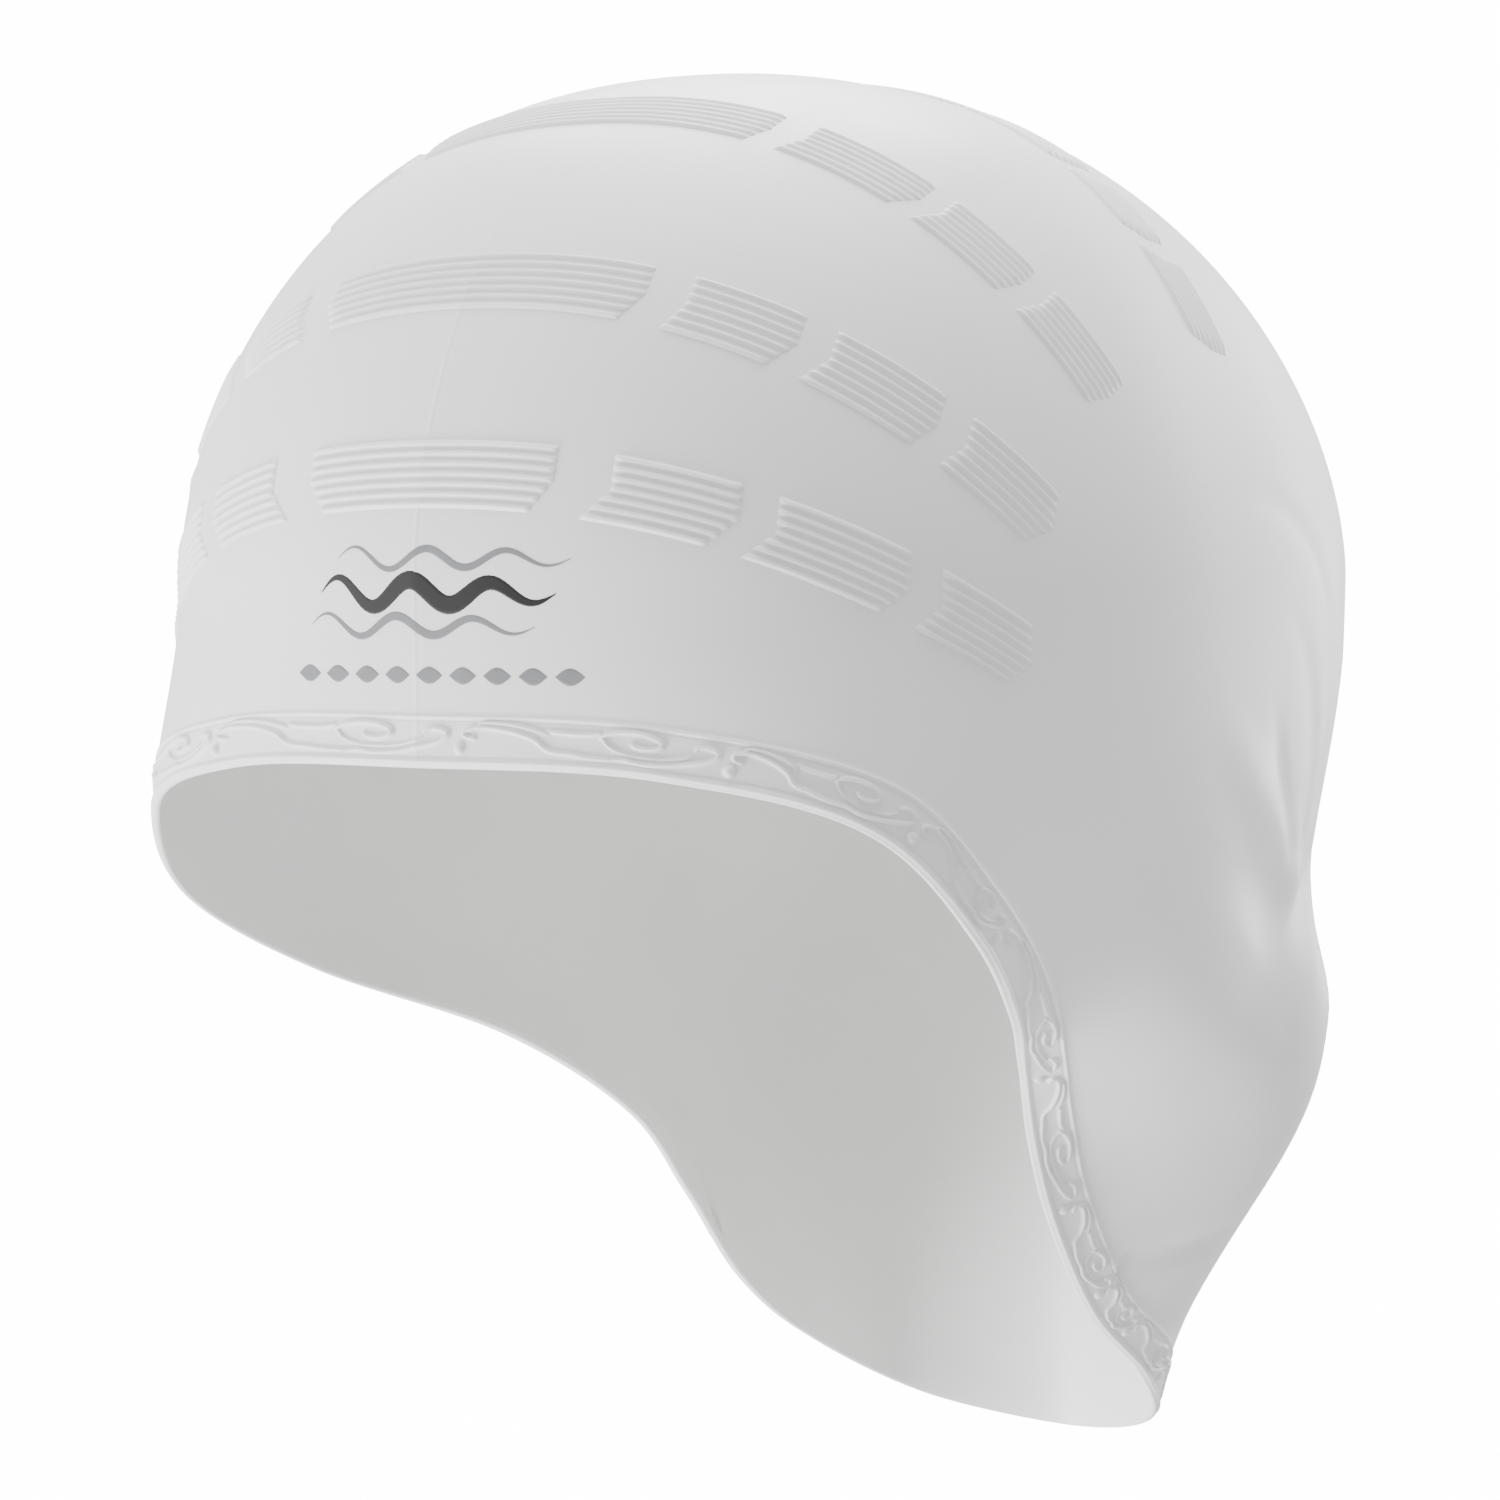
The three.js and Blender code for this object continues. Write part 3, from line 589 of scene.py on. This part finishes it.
def finish_piece(piece, material):
    piece.data.materials.clear()
    piece.data.materials.append(material)
    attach(piece, "root")
    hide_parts("cap_shell")


def node(tree, kind, settings=None, **inputs):
    """Adds a node: settings are its own options, inputs are values or output sockets."""
    made = tree.nodes.new(kind)
    for name, value in (settings or {}).items():
        setattr(made, name, value)
    for name, value in inputs.items():
        key = int(name[1:]) if name[0] == "i" and name[1:].isdigit() else name.replace("_", " ")
        if isinstance(value, bpy.types.NodeSocket):
            tree.links.new(value, made.inputs[key])
        else:
            made.inputs[key].default_value = value
    return made


def new_material(name):
    if name in bpy.data.materials:
        return bpy.data.materials[name], None
    material = bpy.data.materials.new(name)
    material.use_nodes = True
    material.node_tree.nodes.clear()
    return material, material.node_tree


def moulded_silicone(colours):
    """Liquid silicone rubber out of a satin mould: soft, slightly see-through at its thin
    edges, with a faint bloom and a very fine matt grain from the tool's spark finish."""
    material, tree = new_material("Moulded Silicone")
    if tree is None:
        return material
    place_of = node(tree, "ShaderNodeTexCoord").outputs["Object"]
    # Grain of the tool, about 0.6 mm, drawn coarser than the real 0.1 mm so that it shows
    grain = node(tree, "ShaderNodeTexNoise", Vector=place_of, Scale=1600.0, Detail=3.0, Roughness=0.6)
    # Bloom and slight unevenness of a thin wall, in patches of about 25 mm
    bloom = node(tree, "ShaderNodeTexNoise", Vector=place_of, Scale=38.0, Detail=2.0, Roughness=0.5)
    tint = node(
        tree, "ShaderNodeMix", {"data_type": "RGBA"},
        Factor=bloom.outputs["Fac"],
        i6=(*(c * 0.97 for c in colours.silicone), 1.0),
        i7=(*colours.silicone, 1.0),
    )
    matt = node(
        tree, "ShaderNodeMapRange", Value=bloom.outputs["Fac"], From_Min=0.3, From_Max=0.7,
        To_Min=0.38, To_Max=0.46,
    )
    # Parting line of the mould, about 1 mm wide, over the middle of the front
    parts = node(tree, "ShaderNodeSeparateXYZ", Vector=place_of)
    off = node(tree, "ShaderNodeMath", {"operation": "ABSOLUTE"}, i0=parts.outputs["X"])
    seam = node(
        tree, "ShaderNodeMapRange", {"interpolation_type": "SMOOTHSTEP"},
        Value=off.outputs[0], From_Min=0.0, From_Max=0.0006, To_Min=1.0, To_Max=0.0,
    )
    front = node(
        tree, "ShaderNodeMapRange", Value=parts.outputs["Y"], From_Min=-0.055, From_Max=-0.04,
        To_Min=1.0, To_Max=0.0,
    )
    ridge = node(
        tree, "ShaderNodeMath", {"operation": "MULTIPLY"}, i0=seam.outputs[0], i1=front.outputs[0]
    )
    fine = node(tree, "ShaderNodeBump", Height=grain.outputs["Fac"], Strength=0.06, Distance=0.0002)
    bump = node(
        tree, "ShaderNodeBump", Height=ridge.outputs[0], Normal=fine.outputs[0],
        Strength=0.2, Distance=0.0003,
    )
    skin = node(
        tree, "ShaderNodeBsdfPrincipled",
        Base_Color=tint.outputs[2], Roughness=matt.outputs[0], Normal=bump.outputs[0],
        IOR=1.41, Subsurface_Weight=0.3, Subsurface_Radius=(1.0, 0.95, 0.9),
        Subsurface_Scale=0.0004,
    )
    node(tree, "ShaderNodeOutputMaterial", Surface=skin.outputs[0])
    return material


def screen_print(name, colour):
    """Silicone ink pressed through a screen: flat and matt, with a faint mesh mark."""
    material, tree = new_material(name)
    if tree is None:
        return material
    place_of = node(tree, "ShaderNodeTexCoord").outputs["Object"]
    # Mark of the screen's threads, about 0.3 mm apart
    mesh_mark = node(tree, "ShaderNodeTexNoise", Vector=place_of, Scale=3000.0, Detail=1.0)
    # Ink that lies a little thicker and thinner, in patches of about 5 mm
    patchy = node(tree, "ShaderNodeTexNoise", Vector=place_of, Scale=220.0, Detail=3.0)
    tint = node(
        tree, "ShaderNodeMix", {"data_type": "RGBA"}, Factor=patchy.outputs["Fac"],
        i6=(*(c * 0.85 for c in colour), 1.0), i7=(*(min(c * 1.12, 1) for c in colour), 1.0),
    )
    bump = node(
        tree, "ShaderNodeBump", Height=mesh_mark.outputs["Fac"], Strength=0.08, Distance=0.0001
    )
    ink = node(
        tree, "ShaderNodeBsdfPrincipled",
        Base_Color=tint.outputs[2], Roughness=0.5, Normal=bump.outputs[0], IOR=1.43,
    )
    node(tree, "ShaderNodeOutputMaterial", Surface=ink.outputs[0])
    return material


class SWIMCAP_OT_skin(bpy.types.Operator):
    """Add the smooth wall of the cap, inside and outside, with its rim bead"""

    bl_idname = "swimcap.skin"
    bl_label = "Cap Skin"

    COLUMNS = 300
    DOME_ROWS = 108
    INNER_ROWS = 64

    def execute(self, context):
        sizes, colours = context.scene.swim_cap_sizes, context.scene.swim_cap_colours
        form = CapForm(sizes)
        turns = np.arange(self.COLUMNS) * 360 / self.COLUMNS - 180
        line = sizes.band_width + sizes.line_width / 2 * np.linspace(1, -1, 9)
        band = np.linspace(line[-1], sizes.bead_width, 6)[1:]
        bead = np.linspace(sizes.bead_width, 0, 9)[1:]
        distances = np.concatenate([line, band, bead])
        rise = sizes.line_rise * hump((distances - sizes.band_width) / (sizes.line_width / 2))
        rise += sizes.bead_rise * hump((distances - sizes.bead_width * 0.45) / (sizes.bead_width * 0.55))
        ways = form.way_from_rim(turns, distances)
        dome = np.linspace(0, 1, self.DOME_ROWS + 1)[:-1] * ways[:, :1]
        outer = np.concatenate([dome, ways], axis=1)
        rises = np.concatenate([np.zeros(self.DOME_ROWS), rise])
        outer_points = form.point(turns[:, None], outer)
        outer_points += form.normal(turns[:, None], outer) * rises[None, :, None]
        lip = self.lip(form, turns, rises[-1])
        inner = np.linspace(1, 0, self.INNER_ROWS + 1)[None, :]
        inner_points = form.point(turns[:, None], inner)
        inner_points -= form.normal(turns[:, None], inner) * sizes.wall
        rows = np.concatenate([outer_points, lip, inner_points], axis=1)
        piece, column, row = sphere_piece("cap_skin", self.COLUMNS, rows.shape[1] - 1)
        place(piece, rows[np.mod(column + self.COLUMNS // 4 * 3, self.COLUMNS), row])
        finish_piece(piece, moulded_silicone(colours))
        return {"FINISHED"}

    def lip(self, form, turns, rise):
        """Rounded edge of the rim, from the outside round to the inside."""
        wall = form.s.wall
        normal = form.normal(turns, 1)
        edge = form.point(turns, 1)
        down = edge - form.point(turns, 0.99)
        down -= normal * (down * normal).sum(axis=1, keepdims=True)
        down /= np.linalg.norm(down, axis=1, keepdims=True)
        half = (wall + rise) / 2
        middle = edge + normal * (rise - half)
        angles = np.linspace(0, np.pi, 8)[1:-1]
        return np.stack(
            [middle + normal * half * np.cos(a) + down * half * 0.8 * np.sin(a) for a in angles], axis=1
        )


class SWIMCAP_OT_scrolls(bpy.types.Operator):
    """Add the band of raised scrolls that runs round the rim"""

    bl_idname = "swimcap.scrolls"
    bl_label = "Scroll Band"

    COLUMNS = 2700
    ROWS = 27
    ROOT = 0.0003
    LIFT = 0.00003
    MARGIN = 0.002
    NEAR = 0.001
    BALL_HEIGHT = 1.1
    THINNEST = 0.2

    def execute(self, context):
        sizes, colours = context.scene.swim_cap_sizes, context.scene.swim_cap_colours
        form = CapForm(sizes)
        turn_at, whole = form.rim_turns()
        along = np.arange(self.COLUMNS) / self.COLUMNS * whole
        across = np.linspace(
            sizes.bead_width * 0.98, sizes.band_width - sizes.line_width * 0.42, self.ROWS
        )
        height = self.relief(sizes, along, across, whole) + self.LIFT
        height[:, [0, -1]] = -self.ROOT / 3
        rim_turns = turn_at(along / whole)
        square, drift = form.meeting(rim_turns)
        places = along[:, None] + across[None, :] * (drift / square)[:, None]
        table = form.way_from_rim(rim_turns, across)
        ways = np.stack([np.interp(p, along, w, period=whole) for p, w in zip(places.T, table.T)], 1)
        turns = turn_at(places / whole)
        normal, base = form.normal(turns, ways), form.point(turns, ways)
        top = base + normal * height[..., None]
        picks = [-1, self.ROWS // 2, 0]
        under = base[:, picks] - normal[:, picks] * self.ROOT
        sections = np.concatenate([top, under], axis=1)
        piece, column, row = ring_piece("scroll_band", self.COLUMNS, sections.shape[1])
        place(piece, sections[column, row])
        finish_piece(piece, moulded_silicone(colours))
        return {"FINISHED"}

    def relief(self, sizes, along, across, whole):
        """Height of the ornament on a flat plan of the band."""
        last = SCROLL_STARTS[-1]
        even = (1 + SCROLL_STARTS[0] - last) / (EVEN_SCROLLS + 1)
        starts = SCROLL_STARTS + [last + i * even for i in range(1, EVEN_SCROLLS + 2)]
        height = np.zeros((len(along), len(across)))
        for begin, end in zip(starts, starts[1:]):
            length = (end - begin) * whole
            here = np.mod(along - begin * whole + self.MARGIN, whole) - self.MARGIN
            near = np.nonzero(here < length + self.MARGIN)[0]
            spot_x = here[near][:, None]
            spot_y = across[None, :]
            ball = np.hypot(spot_x, spot_y - BALL_ACROSS * sizes.band_width) / (sizes.ball_width / 2)
            best = np.sqrt(np.clip(1 - ball**2, 0, 1)) * self.BALL_HEIGHT
            for knots in STROKES:
                line = spline([(a * length, b * sizes.band_width, c) for a, b, c in knots], 150)
                for x, y, share in line:
                    close = np.abs(spot_x[:, 0] - x) < self.NEAR
                    if not close.any():
                        continue
                    away = np.hypot(spot_x[close] - x, spot_y - y)
                    share = max(share, self.THINNEST)
                    ridge = hump(away / (sizes.stroke_width / 2 * share))
                    best[close] = np.maximum(best[close], ridge * min(1, 0.4 + 0.6 * share))
            height[near] = np.maximum(height[near], best * sizes.stroke_rise)
        return height


class SWIMCAP_OT_ribs(bpy.types.Operator):
    """Add the ribbed blocks over the dome"""

    bl_idname = "swimcap.ribs"
    bl_label = "Ribbed Blocks"

    SAMPLES = 7
    ROOT = 0.00035
    LIFT = 0.00003
    STEP = 0.0012
    TAPER = 0.0009

    def execute(self, context):
        sizes, colours = context.scene.swim_cap_sizes, context.scene.swim_cap_colours
        form = CapForm(sizes)
        blocks = []
        for angle, spans in RIB_ROWS:
            for span in spans:
                blocks.append(self.block(form, angle, span))
                if span[0] > 0:
                    a, b, c, d = span
                    blocks.append(self.block(form, angle, (-b, -a, -d, -c)))
        piece = join_pieces("ribbed_blocks", blocks)
        finish_piece(piece, moulded_silicone(colours))
        return {"FINISHED"}

    def block(self, form, angle, span):
        s = form.s
        width = s.ribs * s.rib_pitch
        across = np.linspace(0, 1, s.ribs * self.SAMPLES + 1)
        length = (span[1] - span[0]) * s.half_width
        ease = np.linspace(0, 1, 5)[:-1] * self.STEP / length
        count = max(8, int(length / self.STEP))
        middle = np.linspace(self.STEP / length, 1 - self.STEP / length, count)
        along = np.concatenate([ease, middle, 1 - ease[::-1]])
        step = np.maximum(0, 2 * across - 1)
        starts = (span[0] + (span[2] - span[0]) * step) * s.half_width
        ends = (span[1] + (span[3] - span[1]) * step) * s.half_width
        x = starts[None, :] + (ends - starts)[None, :] * along[:, None]
        radius = form.radius_at(*form.at_angle(x, angle))
        offset = width * (across - 0.5 / s.ribs)
        turn, way = form.at_angle(x, angle - np.degrees(offset[None, :] / radius))
        base, normal = form.point(turn, way), form.normal(turn, way)
        ridge = hump((np.mod(across * s.ribs, 1) - 0.5) / 0.36)
        taper = np.minimum(along, 1 - along) * length / self.TAPER
        height = ridge[None, :] * smooth(np.clip(taper, 0, 1))[:, None] * s.rib_rise + self.LIFT
        height[[0, -1], :] = -self.ROOT / 2
        height[:, [0, -1]] = -self.ROOT / 2
        top = base + normal * height[..., None]
        picks = np.linspace(len(across) - 1, 0, 9).astype(int)
        under = base[:, picks] - normal[:, picks] * self.ROOT
        sections = np.concatenate([top, under], axis=1)
        poles = sections.mean(axis=1)
        rows = np.concatenate([
            np.repeat(poles[:1, None], sections.shape[1], axis=1),
            sections,
            np.repeat(poles[-1:, None], sections.shape[1], axis=1),
        ])
        piece, segment, row = sphere_piece("rib_block", sections.shape[1], rows.shape[0] - 1)
        place(piece, rows[row, segment])
        return piece


class SWIMCAP_OT_print(bpy.types.Operator):
    """Add the plain printed waves and dots on the front"""

    bl_idname = "swimcap.print"
    bl_label = "Printed Waves"

    INK = 0.00005
    ROOT = 0.0002

    # Waves in metres: left end, right end, height, swing up and down, thickness
    DARK_WAVES = [(-0.0165, 0.0215, -0.0725, 0.0021, 0.0029)]
    GREY_WAVES = [
        (-0.0135, 0.0235, -0.0680, 0.0016, 0.0012), (-0.0185, 0.0185, -0.0768, 0.0016, 0.0014),
    ]
    CRESTS = 3

    # Row of diamonds under the waves: middle of the first, spacing, height and size
    DIAMONDS = 9
    DIAMOND_START, DIAMOND_STEP, DIAMOND_HEIGHT = -0.0190, 0.0053, -0.0832
    DIAMOND_HALF_LENGTH, DIAMOND_WIDTH = 0.0021, 0.0026

    def execute(self, context):
        colours = context.scene.swim_cap_colours
        form = CapForm(context.scene.swim_cap_sizes)
        dark = [self.wave(form, *sizes) for sizes in self.DARK_WAVES]
        grey = [self.wave(form, *sizes) for sizes in self.GREY_WAVES]
        for i in range(self.DIAMONDS):
            middle = self.DIAMOND_START + i * self.DIAMOND_STEP
            left, right = middle - self.DIAMOND_HALF_LENGTH, middle + self.DIAMOND_HALF_LENGTH
            line = [(left, self.DIAMOND_HEIGHT), (right, self.DIAMOND_HEIGHT)]
            grey.append(self.ribbon(form, line, self.DIAMOND_WIDTH, 1.0))
        black, plain_grey = colours.ink_dark, colours.ink_grey
        finish_piece(join_pieces("print_dark", dark), screen_print("Black Screen Print", black))
        finish_piece(join_pieces("print_grey", grey), screen_print("Grey Screen Print", plain_grey))
        return {"FINISHED"}

    def wave(self, form, left, right, height, swing, thick):
        t = np.linspace(0, 1, 90)
        x = left + (right - left) * t
        z = height + swing * np.sin(t * self.CRESTS * 2 * np.pi) * (1 - 0.45 * t)
        return self.ribbon(form, np.stack([x, z], 1), thick, 0.8)

    def ribbon(self, form, line, thick, power):
        """Flat printed stroke along a line on the front, pointed at both ends."""
        line = np.array(line, float)
        t = np.linspace(0, 1, 60)
        knots = np.linspace(0, 1, len(line))
        middle = np.stack([np.interp(t, knots, line[:, i]) for i in range(2)], 1)
        way = np.gradient(middle, axis=0)
        way /= np.linalg.norm(way, axis=1, keepdims=True)
        side = np.stack([-way[:, 1], way[:, 0]], 1)
        half = thick / 2 * np.clip(np.sin(np.pi * t), 0.02, 1) ** power
        across = np.linspace(-1, 1, 9)
        spots = middle[:, None] + side[:, None] * (half[:, None] * across[None, :])[..., None]
        turn, down = form.ahead_of(spots[..., 0], spots[..., 1])
        base, normal = form.point(turn, down), form.normal(turn, down)
        high = self.INK * np.ones(9)
        high[[0, -1]] = -self.INK
        top = base + normal * high[None, :, None]
        under = base[:, ::-1] - normal[:, ::-1] * self.ROOT
        sections = np.concatenate([top, under[:, ::4]], axis=1)
        poles = sections.mean(axis=1)
        rows = np.concatenate([
            np.repeat(poles[:1, None], sections.shape[1], axis=1),
            sections,
            np.repeat(poles[-1:, None], sections.shape[1], axis=1),
        ])
        piece, segment, row = sphere_piece("ink", sections.shape[1], rows.shape[0] - 1)
        place(piece, rows[row, segment])
        return piece


class SWIMCAP_OT_stage(bpy.types.Operator):
    """Add the pale floor and backdrop, the soft studio lights and the camera"""

    bl_idname = "swimcap.stage"
    bl_label = "Stage"

    AZIMUTH = 34.0
    ELEVATION = 2.5
    DISTANCE = 0.628
    TARGET = (0.00149, 0.00101, -0.0957)
    LENS = 104.0

    # Floor, in metres: its height, how far the paper runs out, where it starts to bend,
    # the length of the bend and its radius
    FLOOR_HEIGHT, FLOOR_RUN = -1.0, 5.0
    BEND_START, BEND_LENGTH, BEND_RADIUS = 1.6, 1.2, 0.764
    FLOOR_GLOW = 15.0

    # Light from all round, and the middle that the softboxes point at, a metre away
    ROOM_LIGHT = 1.0
    LIT_MIDDLE = (0, 0.01, -0.1)

    # Softboxes: degrees round from the camera towards its right, degrees up, side in
    # metres and power in watts
    SOFTBOXES = [
        ("top_softbox", 0, 90, 0.7, 12.0),
        ("rear_softbox", 180, 55, 0.6, 18.0),
        ("left_softbox", -90, 10, 0.7, 5.4),
        ("high_left_softbox", -90, 55, 0.6, 2.5),
        ("low_left_softbox", -80, -40, 0.6, 24.0),
        ("right_softbox", 130, 10, 0.7, 10.0),
    ]

    def execute(self, context):
        colours = context.scene.swim_cap_colours
        self.backdrop(colours)
        world = context.scene.world or bpy.data.worlds.new("Studio")
        context.scene.world = world
        world.use_nodes = True
        world.node_tree.nodes.clear()
        sky = node(
            world.node_tree, "ShaderNodeBackground", Color=(1, 1, 1, 1), Strength=self.ROOM_LIGHT
        )
        node(world.node_tree, "ShaderNodeOutputWorld", Surface=sky.outputs[0])
        for name, turn, tilt, size, power in self.SOFTBOXES:
            self.light(name, turn, tilt, size, power)
        self.camera(context)
        return {"FINISHED"}

    def backdrop(self, colours):
        """Round floor that sweeps up into a wall. It is far off and lit by itself, so it
        neither lights nor shades the cap."""
        bpy.ops.object.select_all(action="DESELECT")
        bpy.ops.mesh.primitive_grid_add(x_subdivisions=96, y_subdivisions=96, size=2)
        floor = start_piece("floor")
        co = vertices_of(floor)
        far = np.maximum(np.abs(co[:, 0]), np.abs(co[:, 1]))
        length = np.maximum(np.hypot(co[:, 0], co[:, 1]), 1e-9)
        run = far * self.FLOOR_RUN
        bend = np.clip((run - self.BEND_START) / self.BEND_LENGTH, 0, 1) * np.pi / 2
        radius = np.minimum(run, self.BEND_START) + self.BEND_RADIUS * np.sin(bend)
        up = np.clip(run - self.BEND_START - self.BEND_LENGTH, 0, None)
        height = self.FLOOR_HEIGHT + self.BEND_RADIUS * (1 - np.cos(bend)) + up
        plan = co[:, :2] / length[:, None] * radius[:, None]
        place(floor, np.concatenate([plan, height[:, None]], axis=1))
        material, tree = new_material("Lit Seamless Paper")
        if tree is not None:
            paper = node(
                tree, "ShaderNodeBsdfPrincipled", Base_Color=(*colours.floor, 1.0), Roughness=0.9,
                Emission_Color=(*colours.floor, 1.0), Emission_Strength=self.FLOOR_GLOW,
            )
            node(tree, "ShaderNodeOutputMaterial", Surface=paper.outputs[0])
        material.cycles.emission_sampling = "NONE"
        floor.data.materials.append(material)
        floor.visible_diffuse = False
        floor.visible_glossy = False
        floor.visible_transmission = False
        floor.visible_shadow = False

    def outward(self, turn, tilt):
        """Unit vector away from the cap: degrees round from the camera, degrees up."""
        turn, tilt = math.radians(self.AZIMUTH + turn), math.radians(tilt)
        level = math.cos(tilt)
        return Vector((math.sin(turn) * level, -math.cos(turn) * level, math.sin(tilt)))

    def light(self, name, turn, tilt, size, power):
        out = self.outward(turn, tilt)
        data = bpy.data.lights.new(name, "AREA")
        data.shape = "SQUARE"
        data.size = size
        data.energy = power
        lamp = bpy.data.objects.new(name, data)
        lamp.location = Vector(self.LIT_MIDDLE) + out
        lamp.rotation_euler = out.to_track_quat("Z", "Y").to_euler()
        lamp.visible_camera = False
        bpy.context.scene.collection.objects.link(lamp)

    def camera(self, context):
        back = self.outward(0, self.ELEVATION)
        data = bpy.data.cameras.new("camera")
        data.sensor_width = 36
        data.lens = self.LENS
        camera = bpy.data.objects.new("camera", data)
        camera.location = Vector(self.TARGET) + back * self.DISTANCE
        camera.rotation_euler = (-back).to_track_quat("-Z", "Y").to_euler()
        context.scene.collection.objects.link(camera)
        context.scene.camera = camera


class SWIMCAP_PT_panel(bpy.types.Panel):
    bl_label = "Swim Cap"
    bl_idname = "SWIMCAP_PT_panel"
    bl_space_type = "VIEW_3D"
    bl_region_type = "UI"
    bl_category = "Swim Cap"

    def draw(self, context):
        for group in (context.scene.swim_cap_sizes, context.scene.swim_cap_colours):
            box = self.layout.box()
            for name in group.bl_rna.properties.keys():
                if name not in ("rna_type", "name"):
                    box.prop(group, name)
        for operator in PIECES:
            self.layout.operator(operator.bl_idname)


PIECES = (SWIMCAP_OT_skin, SWIMCAP_OT_scrolls, SWIMCAP_OT_ribs, SWIMCAP_OT_print, SWIMCAP_OT_stage)
CLASSES = (SwimCapSizes, SwimCapColours, *PIECES, SWIMCAP_PT_panel)


def register():
    for item in CLASSES:
        bpy.utils.register_class(item)
    bpy.types.Scene.swim_cap_sizes = bpy.props.PointerProperty(type=SwimCapSizes)
    bpy.types.Scene.swim_cap_colours = bpy.props.PointerProperty(type=SwimCapColours)


def unregister():
    del bpy.types.Scene.swim_cap_sizes
    del bpy.types.Scene.swim_cap_colours
    for item in reversed(CLASSES):
        bpy.utils.unregister_class(item)


def main():
    register()
    bpy.ops.swimcap.skin()
    bpy.ops.swimcap.scrolls()
    bpy.ops.swimcap.ribs()
    bpy.ops.swimcap.print()
    bpy.ops.swimcap.stage()


if __name__ == "__main__":
    main()
